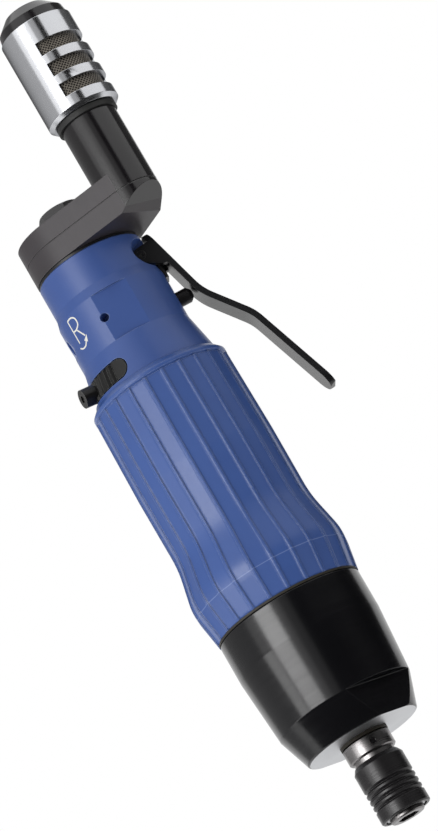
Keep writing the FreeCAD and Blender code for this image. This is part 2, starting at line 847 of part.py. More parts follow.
collar = Piece("anvil_collar", collar_low)
collar.turned([
    (S.shaft_radius, collar_low),
    (S.collar_radius - S.nose_edge, collar_low),
    (S.collar_radius, collar_low + S.nose_edge),
    (S.collar_radius, collar_high - S.nose_edge),
    (S.collar_radius - S.nose_edge, collar_high),
    (S.shaft_radius, collar_high),
])
outline = collar.sketch("YZ", turn=S.collar_pin_angle)
outline.circle(0, pin_level, S.collar_pin_radius)
collar.pocket(outline, S.collar_radius * 3, symmetric=True)
pin = Piece("collar_pin", pin_level)
outline = pin.sketch("YZ", turn=S.collar_pin_angle)
outline.circle(0, pin_level, S.collar_pin_radius)
pin.pad(outline, (S.collar_radius - S.collar_pin_recess) * 2, symmetric=True)
o_ring("shaft_o_ring", S.shaft_radius + S.o_ring_gap, seal_level)

# Driving blades with their springs

blades = []
for side in (-1, 1):
    blade = Piece("blade", drum_low)
    outline = blade.sketch("XY", height=drum_low)
    half = S.blade_width / 2
    near = blade_inner * side
    far = (S.liner_lobe_radius - S.blade_tip_play) * side
    outline.loop([(-half, near), (half, near), (half, far, half * 0.8), (-half, far, half * 0.8)])
    blade.pad(outline, S.liner_length - S.end_play * 2)
    blades.append(blade.body)
join("driving_blades", blades)
coils = []
for part_way in spring_places:
    level = drum_low + S.liner_length * part_way
    coil = spring(
        "coil",
        S.blade_spring_radius,
        S.blade_spring_wire,
        blade_inner * 2,
        S.blade_spring_turns,
        level,
    )
    coil.Placement = FreeCAD.Placement(
        FreeCAD.Vector(0, blade_inner.value, level.value),
        FreeCAD.Rotation(FreeCAD.Vector(1, 0, 0), 90),
    )
    bind(coil, "Placement.Base.y", blade_inner)
    coils.append(coil)
join("blade_springs", coils)

# Pulse unit, driven by the motor

case_inner = S.case_radius - S.case_wall
insert_radius = case_inner - S.insert_fit
shaft_bore = S.shaft_radius + S.running_fit
case = Piece("pulse_case", case_low)
case.turned([
    (shaft_bore, case_low),
    (S.case_radius - S.nose_edge, case_low),
    (S.case_radius, case_low + S.nose_edge),
    (S.case_radius, case_high - S.nose_edge),
    (S.case_radius - S.nose_edge, case_high),
    (case_inner, case_high),
    (case_inner, front_plate_low),
    (shaft_bore, front_plate_low),
])
ring("front_liner_plate", shaft_bore, insert_radius, front_plate_low, liner_low)
rear_bore = S.rear_journal_radius + S.running_fit
ring("rear_liner_plate", rear_bore, insert_radius, liner_high, cover_low)
liner = Piece("pulse_liner", liner_low)
outline = liner.sketch("XY", height=liner_low)
outline.circle(0, 0, insert_radius)
outline.circle(0, 0, S.liner_minor_radius)
liner.pad(outline, S.liner_length)
lobe_low = S.blade_width
for side in (-1, 1):
    outline = liner.sketch("XY", height=liner_low)
    edge = S.liner_lobe_radius * side
    start = lobe_low * side
    outline.loop([(-lobe_low, start), (lobe_low, start), (lobe_low, edge), (-lobe_low, edge)])
    liner.pocket(outline, S.liner_length, outward=True)

cover = Piece("case_cover", cover_low)
cover_groove = keep("cover_groove", cover_low + S.cover_height / 2)
cover_seat = case_inner - S.o_ring_wire * 2 - S.o_ring_gap
cover.turned([
    (0, cover_low),
    (insert_radius, cover_low),
    (insert_radius, cover_groove - S.o_ring_wire),
    (cover_seat, cover_groove - S.o_ring_wire),
    (cover_seat, cover_groove + S.o_ring_wire),
    (insert_radius, cover_groove + S.o_ring_wire),
    (insert_radius, case_high),
    (0, case_high),
])
outline = cover.sketch("XY", height=case_high)
outline.polygon(6, S.drive_across)
cover.pocket(outline, S.drive_depth)
screw_place = S.relief_screw_place
cover.drill(S.relief_screw_radius, cover_low, S.cover_height, x=screw_place)
cover.drill(S.relief_screw_radius, cover_low, S.cover_height, x=-screw_place)
o_ring("case_o_ring", case_inner, cover_groove)
screws = []
for side in (-1, 1):
    screw = Piece("screw", cover_low)
    outline = screw.sketch("XY", height=cover_low)
    outline.circle(screw_place * side, 0, S.relief_screw_radius)
    screw.pad(outline, S.cover_height - S.end_play)
    outline = screw.sketch("XY", height=case_high - S.end_play)
    half = S.screw_slot_half
    left = screw_place * side - S.relief_screw_radius
    right = screw_place * side + S.relief_screw_radius
    outline.loop([(left, -half), (right, -half), (right, half), (left, half)])
    screw.pocket(outline, S.screw_slot_depth)
    screws.append(screw.body)
join("cover_screws", screws)

# Vane motor: rotor, vanes, cylinder, end plates and bearings

front_race_low = keep("front_race_low", motor_low)
front_race_high = keep("front_race_high", motor_low + S.bearing_height)
rear_race_low = keep("rear_race_low", motor_high - S.bearing_height)
rotor_low = keep("rotor_low", cylinder_low + S.end_play)
rotor_high = keep("rotor_high", cylinder_high - S.end_play)
hex_low = keep("hex_low", case_high - S.drive_depth + S.end_play)
hex_high = keep("hex_high", case_high + S.clamp_gap)
rotor = Piece("rotor", rotor_low)
rotor.turned([
    (0, hex_high),
    (S.bearing_bore, hex_high),
    (S.bearing_bore, front_race_high),
    (S.race_step_radius, front_race_high),
    (S.race_step_radius, rotor_low),
    (S.rotor_radius, rotor_low),
    (S.rotor_radius, rotor_high),
    (S.race_step_radius, rotor_high),
    (S.race_step_radius, rear_race_low),
    (S.bearing_bore, rear_race_low),
    (S.bearing_bore, motor_high),
    (0, motor_high),
])
outline = rotor.sketch("XY", height=hex_low)
outline.polygon(6, S.drive_across - S.hex_clearance * 2)
rotor.pad(outline, hex_high - hex_low)
vane_inner = S.rotor_radius - S.vane_height
outline = rotor.sketch("XY", height=rotor_low)
half = S.vane_width / 2 + S.vane_play
far = S.rotor_radius + S.overcut
outline.loop([(vane_inner, -half), (far, -half), (far, half), (vane_inner, half)])
slot = rotor.pocket(outline, rotor_high - rotor_low, outward=True)
rotor.repeat([slot], S.vane_count)
vanes = []
for index in range(int(S.vane_count.value)):
    turn = 360 * index / int(S.vane_count.value)
    vane = Piece("vane", rotor_low)
    outline = vane.sketch("XY", turn=turn, height=rotor_low)
    half = S.vane_width / 2
    far = S.rotor_radius - S.vane_play
    outline.loop([(vane_inner, -half), (far, -half), (far, half), (vane_inner, half)])
    vane.pad(outline, rotor_high - rotor_low)
    vanes.append(vane.body)
join("rotor_vanes", vanes)

tube_fit_radius = S.tube_bore - S.motor_fit


def end_plate(node, low, inward, outward, step):
    """End plate with the bearing's seat open to one side and a narrow bore to the motor."""
    plate = Piece(node, low)
    plate.turned([
        (tube_fit_radius, outward),
        (tube_fit_radius, inward),
        (S.plate_bore, inward),
        (S.plate_bore, step),
        (S.bearing_radius, step),
        (S.bearing_radius, outward),
    ])
    return plate


front_plate = end_plate("front_end_plate", motor_low, cylinder_low, motor_low, front_race_high)
front_plate.drill(S.dowel_radius, cylinder_low - S.dowel_reach, S.dowel_reach, y=S.dowel_place)
end_plate("rear_end_plate", cylinder_high, cylinder_high, motor_high, rear_race_low)
for word, low in (("front", front_race_low), ("rear", rear_race_low)):
    high = low + S.bearing_height
    ring(word + "_inner_race", S.bearing_bore, S.bearing_bore + S.race_wall, low, high)
    ring(word + "_outer_race", S.bearing_radius - S.race_wall, S.bearing_radius, low, high)

cylinder = Piece("motor_cylinder", cylinder_low)
outline = cylinder.sketch("XY", height=cylinder_low)
outline.circle(0, 0, tube_fit_radius)
outline.circle(0, -S.cylinder_offset, S.cylinder_bore)
cylinder.pad(outline, S.cylinder_length)
cylinder.drill(S.dowel_radius, cylinder_low, S.dowel_reach, y=S.dowel_place)
port_count = int(S.inlet_port_count.value)
for index in range(port_count):
    level = cylinder_low + S.cylinder_length * (index + 1) / (port_count + 1)
    cylinder.drill_out(S.inlet_port_radius, 0, level, S.rotor_radius, S.tube_bore - S.rotor_radius)
cylinder.drill(S.inlet_port_radius, cylinder_low, S.cylinder_length, x=S.tube_bore)
simple(
    "Cylinder",
    "cylinder_dowel",
    cylinder_low - S.dowel_reach,
    y=S.dowel_place,
    Radius=S.dowel_radius,
    Height=S.dowel_reach * 2,
)
ring("motor_clamp_ring", S.clamp_bore, tube_fit_radius, clamp_low, motor_low)

# Black housing of the pulse unit, with bush, dust ring and joint ring

thread_radius = S.tube_radius + S.running_fit
shaft_opening = S.shaft_radius + S.bush_step
housing = Piece("pulse_housing", face_height)
bush_low = keep("bush_low", face_height + S.dust_ring_seat + S.joint_ring_height)
flange_low = keep("flange_low", cavity_low - S.bush_flange_height)
housing.turned([
    (S.dust_ring_radius, face_height),
    (S.face_radius, face_height, S.housing_edge),
    (S.cone_radius, cone_high),
    (S.housing_radius, taper_high),
    (S.housing_radius, housing_high - S.nose_edge),
    (S.housing_radius - S.nose_edge, housing_high),
    (thread_radius, housing_high),
    (thread_radius, tube_low),
    (S.cavity_radius, tube_low),
    (S.cavity_radius, cavity_low),
    (S.bush_flange_radius, cavity_low),
    (S.bush_flange_radius, flange_low),
    (S.bush_radius, flange_low),
    (S.bush_radius, bush_low),
    (shaft_opening, bush_low),
    (shaft_opening, face_height + S.dust_ring_seat),
    (S.dust_ring_radius, face_height + S.dust_ring_seat),
])
for opposite in (0, 180):
    outline = housing.sketch("XY", turn=S.flat_angle + opposite, height=face_height)
    near = S.flat_across / 2
    far = S.housing_radius + S.overcut
    outline.loop([(near, -far), (far, -far), (far, far), (near, far)])
    housing.pocket(outline, S.cone_length, outward=True)
bush = Piece("nose_bush", bush_low)
bush.turned([
    (shaft_bore, bush_low),
    (S.bush_radius, bush_low),
    (S.bush_radius, flange_low),
    (S.bush_flange_radius, flange_low),
    (S.bush_flange_radius, cavity_low),
    (shaft_bore, cavity_low),
])
ring(
    "dust_ring",
    shaft_bore,
    S.dust_ring_radius,
    collar_high + S.end_play,
    face_height + S.dust_ring_seat,
)
grip_bore = S.tube_radius + S.grip_fit
ring("joint_ring", grip_bore, S.joint_ring_radius, housing_high, grip_low)

# Grip with flat facets between narrow ribs

grip = Piece("grip", grip_low)
flute_end = grip_high - S.rib_end


def grip_side(rise):
    """Side of the grip, raised from the facets, from the front lip to the flutes' end."""
    return [
        (S.grip_lip_radius + rise, grip_low),
        (S.grip_bulge_radius + rise, grip_low + S.grip_bulge_height, S.grip_bulge_blend),
        (S.grip_neck_radius + rise, grip_low + S.grip_neck_height, S.grip_neck_blend),
        (S.grip_waist_radius + rise, grip_low + S.grip_waist_height),
        (S.grip_rear_radius + rise, flute_end),
    ]


rim_radius = S.grip_rear_radius + S.rib_rise
grip.turned([
    (grip_bore, grip_low),
    *grip_side(-S.facet_base),
    (rim_radius, flute_end + S.rib_rise),
    (rim_radius, grip_high - S.grip_rim_height),
    (S.grip_rim_radius, grip_high),
    (grip_bore, grip_high),
])
plate_inner = grip_bore + S.rib_rise
half_turn = Size(180) / S.rib_count
facet_outline = grip.sketch("XZ", turn=half_turn)
facet_outline.loop([(plate_inner, grip_low), *grip_side(0), (plate_inner, flute_end)])
facet = grip.pad(facet_outline, S.facet_half_width * 2, symmetric=True)
rib_outline = grip.sketch("XZ")
rib_outline.loop([(plate_inner, grip_low), *grip_side(S.rib_rise), (plate_inner, flute_end)])
rib = grip.pad(rib_outline, S.rib_width, symmetric=True)
grip.repeat([facet, rib], S.rib_count)

# Blue valve head with the tube that carries the motor

head = Piece("handle_body", tube_low)
seat_level = keep("seat_level", head_high - S.strainer_seat)
supply_low = keep("supply_low", head_high - S.supply_depth)
head.turned([
    (S.tube_bore, tube_low),
    (S.tube_radius, tube_low),
    (S.tube_radius, grip_high),
    (S.flare_radius, grip_high),
    (S.head_ring_radius, flare_high),
    (S.head_ring_radius, ring_high),
    (S.head_radius, chamfer_high),
    (S.head_radius, head_high - S.nose_edge),
    (S.head_radius - S.nose_edge, head_high),
    (S.supply_radius, head_high),
    (S.supply_radius, seat_level),
    (S.supply_low_radius, seat_level),
    (S.supply_low_radius, supply_low),
    (0, supply_low),
    (0, chamber_high),
    (S.chamber_radius, chamber_high),
    (S.chamber_radius, motor_high),
    (S.tube_bore, motor_high),
])
cross = head.sketch("YZ", reach=S.head_ring_radius - S.valve_bore_depth)
cross.circle(0, valve_level, S.valve_bore)
head.pocket(cross, S.valve_bore_depth + S.overcut, outward=True)
head.drill(S.outlet_port_radius, chamber_high, valve_level - chamber_high, x=S.outlet_port_place)
head.drill(S.exhaust_port_radius, chamber_high, head_high - chamber_high, y=S.exhaust_port_place)
outline = head.sketch("XY", turn=S.label_flat_angle, height=flare_high)
near = S.label_flat_distance
far = S.head_ring_radius + S.overcut
outline.loop([(near, -far), (far, -far), (far, far), (near, far)])
head.pocket(outline, S.head_ring_length, outward=True)
head.drill_out(
    S.blind_hole_radius,
    S.blind_hole_angle,
    flare_high + S.blind_hole_height,
    S.head_radius - S.blind_hole_depth,
    S.blind_hole_depth * 2,
)
spot_level = keep("spot_level", flare_high + S.spot_face_height)


def spot_outline(piece, distance, radius):
    """Circle on the plane tilted toward the bit, at the side away from the lever."""
    sketch = piece.sketch("YZ")
    tilt = FreeCAD.Rotation(FreeCAD.Vector(0, 1, 0), 180) * FreeCAD.Rotation(
        FreeCAD.Vector(1, 0, 0), S.spot_face_tilt.value)
    height = spot_level - piece.base
    sketch.sketch.AttachmentOffset = FreeCAD.Placement(
        FreeCAD.Vector(0, height.value, -distance.value), tilt)
    bind(sketch.sketch, "AttachmentOffset.Base.y", height)
    bind(sketch.sketch, "AttachmentOffset.Base.z", -distance)
    sketch.lowered = as_size(0)
    sketch.circle(0, 0, radius)
    return sketch


plug_seat = S.spot_face_distance - S.port_plug_length
head.pocket(spot_outline(head, S.spot_face_distance, S.spot_face_radius), S.spot_face_radius, outward=True)
head.pocket(spot_outline(head, plug_seat, S.port_plug_radius), S.port_plug_length, outward=True)
plug = Piece("port_plug", spot_level)
plug.pad(spot_outline(plug, plug_seat, S.port_plug_radius), S.port_plug_length - S.rib_rise)

# Pocket and slot for the reversing lever

pocket_radius = S.pocket_height / 2
slider_span = S.slider_end_angle - S.knob_angle
pocket_span = keep("pocket_span", slider_span + S.reverse_travel)
pocket_middle = keep("pocket_middle", S.slider_end_angle - pocket_span / 2)
pocket_far = keep("pocket_far", S.knob_angle - S.reverse_travel)
outer = S.flare_radius + S.overcut
head.groove([
    (S.pocket_floor, pocket_level - pocket_radius),
    (outer, pocket_level - pocket_radius),
    (outer, pocket_level + pocket_radius),
    (S.pocket_floor, pocket_level + pocket_radius),
], turn=pocket_middle, angle=pocket_span)
for angle in (S.slider_end_angle, pocket_far):
    head.drill_out(pocket_radius, angle, pocket_level, S.pocket_floor, outer - S.pocket_floor)
slot_half = S.knob_shank_radius + S.grip_fit
slot_middle = S.knob_angle - S.reverse_travel / 2
slot_inner = S.chamber_radius - S.overcut
slot_outer = S.pocket_floor + S.knob_slot_step
head.groove([
    (slot_inner, pocket_level - slot_half),
    (slot_outer, pocket_level - slot_half),
    (slot_outer, pocket_level + slot_half),
    (slot_inner, pocket_level + slot_half),
], turn=slot_middle, angle=S.reverse_travel)
for angle in (S.knob_angle, pocket_far):
    head.drill_out(slot_half, angle, pocket_level, slot_inner, slot_outer - slot_inner)

# Lever lug, stop recess and detent hole of the head

for side in (-1, 1):
    outline = head.sketch("XZ", reach=-S.lug_half_width * side)
    outline.circle(pin_x + S.scallop_x, pin_z - S.scallop_z, S.scallop_radius)
    head.pocket(outline, S.head_ring_radius, outward=side < 0)
outline = head.sketch("XZ")
outline.circle(pin_x, pin_z, S.pin_radius)
head.pocket(outline, S.lug_half_width * 3, symmetric=True)
stop_low = keep("stop_low", head_high - S.stop_drop)
stop_inner = S.stop_reach - S.stop_depth
outline = head.sketch("XY", height=stop_low)
half = S.stop_width / 2
outline.loop([(stop_inner, -half), (far, -half), (far, half), (stop_inner, half)])
head.pocket(outline, S.stop_height, outward=True)
stop = Piece("lever_stop", stop_low)
outline = stop.sketch("XY", height=stop_low)
reach = S.stop_reach
blend = S.stop_round
outline.loop([(stop_inner, -half), (reach, -half, blend), (reach, half, blend), (stop_inner, half)])
stop.pad(outline, S.stop_height)
detent_x = S.detent_place * cosine(S.detent_angle)
detent_y = S.detent_place * sine(S.detent_angle)
detent_bore = S.detent_ball_radius + S.running_fit
head.drill(detent_bore, chamber_high, S.detent_depth, x=detent_x, y=detent_y)

# Small pieces of the head: detent, strainer, valve bush with its seal and spring

ring_top = keep("ring_top", chamber_high - S.end_play)
detent_level = ring_top - S.detent_groove + S.running_fit + S.detent_ball_radius
simple("Sphere", "detent_ball", detent_level, x=detent_x, y=detent_y, Radius=S.detent_ball_radius)
coil_low = detent_level + S.detent_ball_radius
coil = spring(
    "detent_spring",
    detent_bore - S.detent_spring_wire * 2,
    S.detent_spring_wire,
    chamber_high + S.detent_depth - coil_low,
    S.detent_spring_turns,
    coil_low,
    x=detent_x,
)
coil.Placement.Base.y = detent_y.value
bind(coil, "Placement.Base.y", detent_y)

strainer = Piece("supply_strainer", seat_level)
strainer_radius = S.supply_radius - S.grip_fit
strainer.turned([
    (0, seat_level),
    (strainer_radius, seat_level),
    (strainer_radius, seat_level + S.strainer_height),
    (strainer_radius - S.strainer_wall, seat_level + S.strainer_height),
    (strainer_radius - S.strainer_wall, seat_level + S.strainer_wall),
    (0, seat_level + S.strainer_wall),
])
outline = strainer.sketch("XY", height=seat_level)
outline.circle(strainer_radius / 2, 0, S.detent_ball_radius)
hole = strainer.pocket(outline, S.strainer_wall, outward=True)
strainer.repeat([hole], S.vane_count)


def along_x(node, corners):
    """Piece turned about the throttle's axis, from corners (x, radius)."""
    piece = Piece(node, valve_level)
    outline = piece.sketch("XZ")
    outline.loop([(x, valve_level + as_size(radius)) for x, radius in corners])
    feature = piece.add("Revolution", outline)
    feature.ReferenceAxis = (outline.sketch, ["H_Axis"])
    feature.Angle = 360
    return piece


bush_radius = S.valve_bore - S.running_fit
pin_bore_radius = S.push_pin_radius + S.running_fit
wide_bore = S.push_pin_radius + S.valve_wide_play
wide_end = S.push_pin_back + S.valve_wide_start
seal_x = keep("seal_x", S.bush_front - S.o_ring_wire * 5)
seal_floor = S.valve_bore - S.o_ring_wire * 2 - S.o_ring_gap * 2
valve_bush = along_x("throttle_bush", [
    (S.bush_back, wide_bore),
    (S.bush_back, bush_radius),
    (seal_x - S.o_ring_wire, bush_radius),
    (seal_x - S.o_ring_wire, seal_floor),
    (seal_x + S.o_ring_wire, seal_floor),
    (seal_x + S.o_ring_wire, bush_radius),
    (S.bush_front, bush_radius),
    (S.bush_front, pin_bore_radius),
    (wide_end, pin_bore_radius),
    (wide_end, wide_bore),
])
outlet = valve_bush.sketch("XY", height=valve_level - S.valve_bore)
outlet.circle(S.outlet_port_place, 0, S.outlet_port_radius)
valve_bush.pocket(outlet, S.valve_bore - S.valve_stem_radius, outward=True)
o_ring("bush_o_ring", S.valve_bore, valve_level, x=seal_x, pitch=90)
spring_end = S.bush_back - S.end_play - S.valve_disc_height
spring_start = S.head_ring_radius - S.valve_bore_depth
coil = spring(
    "valve_spring",
    S.valve_spring_radius,
    S.valve_spring_wire,
    spring_end - spring_start,
    S.valve_spring_turns,
    valve_level,
    x=spring_start,
    pitch=90,
)
along_x("push_pin", [
    (S.push_pin_back, 0),
    (S.push_pin_back, S.push_pin_radius),
    (S.push_pin_reach - S.push_pin_chamfer, S.push_pin_radius),
    (S.push_pin_reach, S.push_pin_radius - S.push_pin_chamfer),
    (S.push_pin_reach, 0),
])
along_x("throttle_valve", [
    (spring_end, 0),
    (spring_end, S.valve_disc_radius),
    (spring_end + S.valve_disc_height, S.valve_disc_radius),
    (spring_end + S.valve_disc_height, S.valve_stem_radius),
    (S.push_pin_back, S.valve_stem_radius),
    (S.push_pin_back, 0),
])

# Throttle lever on its tubular pin


def lean(x_step, z_step):
    """Direction of a stretch of the lever, as its unit parts along X and down."""
    length = root(x_step * x_step + z_step * z_step)
    return x_step / length, z_step / length


def inner_corner(x, drop, before, after):
    """Corner of the lever's inner side, one sheet thickness in from the outer corner."""
    share = S.lever_sheet / (before[0] * after[0] + before[1] * after[1] + 1)
    return x - (before[1] + after[1]) * share, drop + (before[0] + after[0]) * share


def lever_point(place, blend=None):
    """Point of the lever from its place beside and below the pin."""
    point = (pin_x + place[0], pin_z - place[1])
    return point if blend is None else point + (blend,)


first = lean(S.lever_bend_x - S.heel_x, S.lever_bend_z + S.heel_z)
second = lean(S.lever_knee_x - S.lever_bend_x, S.lever_knee_z - S.lever_bend_z)
third = lean(S.lever_tip_x - S.lever_knee_x, S.lever_tip_z - S.lever_knee_z)
first = [keep(name, size) for name, size in zip(("heel_run", "heel_fall"), first)]
second = [keep(name, size) for name, size in zip(("middle_run", "middle_fall"), second)]
third = [keep(name, size) for name, size in zip(("blade_run", "blade_fall"), third)]
heel = (S.heel_x, -S.heel_z)
bend = (S.lever_bend_x, S.lever_bend_z)
knee = (S.lever_knee_x, S.lever_knee_z)
tip = (S.lever_tip_x, S.lever_tip_z)
heel_in = inner_corner(*heel, first, first)
bend_in = inner_corner(*bend, first, second)
knee_in = inner_corner(*knee, second, third)
tip_in = inner_corner(*tip, third, third)
lever = Piece("throttle_lever", pin_z)
outline = lever.sketch("XZ")
outline.loop([
    lever_point(heel),
    lever_point(bend, S.lever_bend_radius),
    lever_point(knee, S.lever_knee_radius),
    lever_point(tip),
    lever_point(tip_in),
    lever_point(knee_in, S.lever_knee_radius - S.lever_sheet),
    lever_point(bend_in, S.lever_bend_radius + S.lever_sheet),
    lever_point(heel_in),
])
lever_width = S.lever_half_width * 2
lever.pad(outline, lever_width, symmetric=True)
upper = S.ear_upper_angle
lower = S.ear_lower_angle
ear_upper = (S.ear_radius * cosine(upper), -S.ear_radius * sine(upper))
ear_lower = (S.ear_radius * cosine(lower), -S.ear_radius * sine(lower))
ear_top = (S.ear_top_x, -S.ear_top_z)
ear_end = (S.ear_end_x, S.ear_end_z)
ear_side = (S.ear_end_x + 1, S.ear_end_z)
outline = lever.sketch("XZ")
outline.loop([lever_point(place) for place in (ear_top, ear_upper, ear_lower, ear_end, ear_side)])
lever.pad(outline, lever_width, symmetric=True)
outline = lever.sketch("XZ")
outline.circle(pin_x, pin_z, S.ear_radius)
lever.pad(outline, lever_width, symmetric=True)
ear_inner = S.lug_half_width + S.ear_gap
gap_side = S.ear_radius * 2
slope = keep("heel_slope", first[0] / first[1])
gap_top = (heel_in[0] + (heel_in[1] + gap_side) * -slope, -gap_side)
gap_low = (heel_in[0] + (gap_side * 2 - heel_in[1]) * slope, gap_side * 2)
gap_corners = (gap_top, gap_low, (-gap_side, gap_side * 2), (-gap_side, -gap_side))
outline = lever.sketch("XZ")
outline.loop([lever_point(place) for place in gap_corners])
lever.pocket(outline, ear_inner * 2, symmetric=True)
outline = lever.sketch("XZ")
outline.circle(pin_x, pin_z, S.pin_radius + S.running_fit)
lever.pocket(outline, lever_width + S.overcut, symmetric=True)


def round_corner(piece, side, level, past, blend):
    """Rounds one corner of the lever, seen from its outer side; past is 1 upwards and -1 downwards."""
    edge = S.lever_half_width * side
    beyond = edge + S.overcut * side
    run = blend + S.round_end_gap
    outline = piece.sketch("YZ")
    outline.loop([
        (beyond, level - run * past),
        (edge, level - run * past),
        (edge, level, blend),
        (edge - run * side, level),
        (edge - run * side, level + S.overcut * past),
        (beyond, level + S.overcut * past),
    ])
    piece.pocket(outline, S.arm_reach * 4, symmetric=True)


tip_low = keep("tip_low", pin_z - tip_in[1])
for side in (-1, 1):
    round_corner(lever, side, pin_z + S.heel_z, 1, S.tongue_round)
    round_corner(lever, side, tip_low, -1, S.lever_tip_round)

tube = Piece("lever_pin", pin_z)
outline = tube.sketch("XZ")
outline.circle(pin_x, pin_z, S.pin_radius)
outline.circle(pin_x, pin_z, S.pin_bore)
tube.pad(outline, lever_width, symmetric=True)

# Reversing lever: slider with grooves, knob and valve ring

slider = Piece("reverse_slider", pocket_level)
slider_half = pocket_radius - S.slider_play
slider_low = pocket_level - slider_half
slider_high = pocket_level + slider_half
slider_floor = S.pocket_floor + S.slider_play
over_angle = keep("over_angle", slider_span + S.slider_overlap_angle)
slider_middle = keep("slider_middle", S.slider_end_angle - slider_span / 2)
slider.turned([
    (slider_floor, slider_low),
    (flare_at(slider_low) + S.slider_proud, slider_low),
    (flare_at(slider_high) + S.slider_proud, slider_high),
    (slider_floor, slider_high),
], turn=slider_middle, angle=over_angle)
for angle, side in ((S.slider_end_angle, 1), (S.knob_angle, -1)):
    outline = slider.sketch("YZ", turn=angle)
    blend = slider_half * S.slider_round_share
    start = -S.slider_play * side
    far = S.slider_play + slider_half * 2
    outline.loop([
        (start, slider_high + S.overcut),
        (start, slider_high),
        (slider_half * side, slider_high, blend),
        (slider_half * side, slider_low, blend),
        (start, slider_low),
        (start, slider_low - S.overcut),
        (far * side, slider_low - S.overcut),
        (far * side, slider_high + S.overcut),
    ])
    slider.pocket(outline, S.flare_radius + S.overcut, outward=True)


def wedge(level, angle):
    """V-shaped outline of a finger groove at one height of the slider."""
    apex = flare_at(level) + S.slider_proud - S.slider_groove_depth
    outline = slider.sketch("XY", turn=angle, height=level)
    half = S.slider_groove_width
    outside = apex + S.slider_groove_depth * 2
    outline.loop([(apex, 0), (outside, -half), (outside, half)])
    return outline


for index in range(int(S.slider_groove_count.value)):
    angle = S.slider_end_angle - S.slider_groove_first - S.slider_groove_pitch * index
    lower_v = wedge(slider_low - S.overcut, angle)
    upper_v = wedge(slider_high + S.overcut, angle)
    loft = slider.body.newObject("PartDesign::SubtractiveLoft", "finger_groove")
    loft.Profile = lower_v.sketch
    loft.Sections = [upper_v.sketch]
    loft.Ruled = True
seat = keep("knob_seat_radius", flare_at(slider_high) - S.knob_seat_setback)
shank_start = slider_floor - S.overcut
slider.drill_out(slider_half + S.knob_play, S.knob_angle, pocket_level, seat, S.knob_reach)
slider.drill_out(S.knob_shank_radius, S.knob_angle, pocket_level, shank_start, S.knob_reach)

knob = Piece("reverse_knob", pocket_level)
for radius, start in ((slider_half, seat), (S.knob_shank_radius, S.knob_shank_end)):
    outline = knob.sketch("YZ", turn=S.knob_angle, reach=start)
    outline.circle(0, pocket_level, radius)
    knob.pad(outline, S.knob_reach - start)
outline = knob.sketch("YZ", turn=S.knob_angle, reach=S.knob_reach)
corner = S.knob_socket_across / 2 / cosine(30)
turns = [60 * index for index in range(6)]
outline.loop([(corner * cosine(turn), pocket_level + corner * sine(turn)) for turn in turns])
knob.pocket(outline, S.knob_socket_depth)

valve_ring = Piece("reverse_valve", ring_top - S.reverse_ring_height)
ring_low = keep("ring_low", ring_top - S.reverse_ring_height)
ring_outer = S.chamber_radius - S.sleeve_fit
groove_floor = ring_top - S.detent_groove
groove_near = S.detent_place - S.detent_groove_half_width
groove_far = S.detent_place + S.detent_groove_half_width
valve_ring.turned([
    (S.reverse_ring_bore, ring_low),
    (ring_outer, ring_low),
    (ring_outer, ring_top),
    (groove_far, ring_top),
    (groove_far, groove_floor),
    (groove_near, groove_floor),
    (groove_near, ring_top),
    (S.reverse_ring_bore, ring_top),
])
valve_ring.drill_out(S.knob_shank_radius, S.knob_angle, pocket_level, S.knob_shank_end, S.flare_radius)
spacer_outer = S.chamber_radius - S.grip_fit
ring("valve_spacer", spacer_outer - S.spacer_wall, spacer_outer, motor_high, ring_low - S.end_play)

# Swivelling arm with its riser

washer_top = head_high + S.swivel_washer_height
ring("swivel_washer", S.swivel_washer_bore, S.swivel_washer_radius, head_high, washer_top)
arm = Piece("swivel_arm", arm_low)
taper_cosine = (S.head_radius - S.riser_radius) / S.arm_reach
taper_cosine = keep("taper_cosine", taper_cosine)
taper_sine = keep("taper_sine", root(Size(1) - taper_cosine * taper_cosine))


def arm_layer(low, height, inset):
    """One layer of the arm: two round ends and the straight sides between them."""
    near = S.head_radius - inset
    far = S.riser_radius - inset
    front = S.arm_reach + far
    wide = (near + near * taper_cosine) / taper_sine
    narrow = (near - front * taper_cosine) / taper_sine
    outline = arm.sketch("XY", turn=S.arm_angle, height=low)
    outline.loop([
        (-near, -wide, near - S.round_end_gap),
        (front, -narrow, far - S.round_end_gap),
        (front, narrow, far - S.round_end_gap),
        (-near, wide, near - S.round_end_gap),
    ])
    arm.pad(outline, height)


scribe_low = keep("scribe_low", arm_low + S.scribe_height)
scribe_high = keep("scribe_high", scribe_low + S.scribe_width)
arm_layer(arm_low, S.scribe_height, 0)
arm_layer(scribe_low, S.scribe_width, S.scribe_depth)
arm_layer(scribe_high, arm_high - scribe_high, 0)
for low, high, radius in ((arm_high, riser_high, S.riser_radius), (riser_high, neck_high, S.neck_radius)):
    outline = arm.sketch("XY", turn=S.arm_angle, height=low)
    outline.circle(S.arm_reach, 0, radius)
    arm.pad(outline, high - low)
rise = sine(S.arm_chamfer_slope) / cosine(S.arm_chamfer_slope)
chamfer_far = S.arm_reach + S.head_radius
chamfer_rise = (chamfer_far - S.arm_chamfer_start) * rise
outline = arm.sketch("XZ", turn=S.arm_angle + S.arm_chamfer_angle)
outline.loop([
    (S.arm_chamfer_start, arm_low),
    (chamfer_far, arm_low + chamfer_rise),
    (chamfer_far, arm_low - S.overcut),
    (S.arm_chamfer_start, arm_low - S.overcut),
])
arm.pocket(outline, S.head_radius * 4, symmetric=True)
duct_level = keep("duct_level", arm_low + S.arm_duct_height)
arm.drill(S.bolt_radius + S.bolt_play, arm_low, S.arm_height)
recess_half = S.arm_duct_radius + S.supply_recess_land
arm.drill(S.supply_recess_radius, duct_level - recess_half, recess_half * 2)
groove_inner = S.exhaust_port_place - S.exhaust_port_radius
outline = arm.sketch("XY", height=arm_low)
outline.circle(0, 0, groove_inner)
outline.circle(0, 0, groove_inner + S.arm_groove_width)
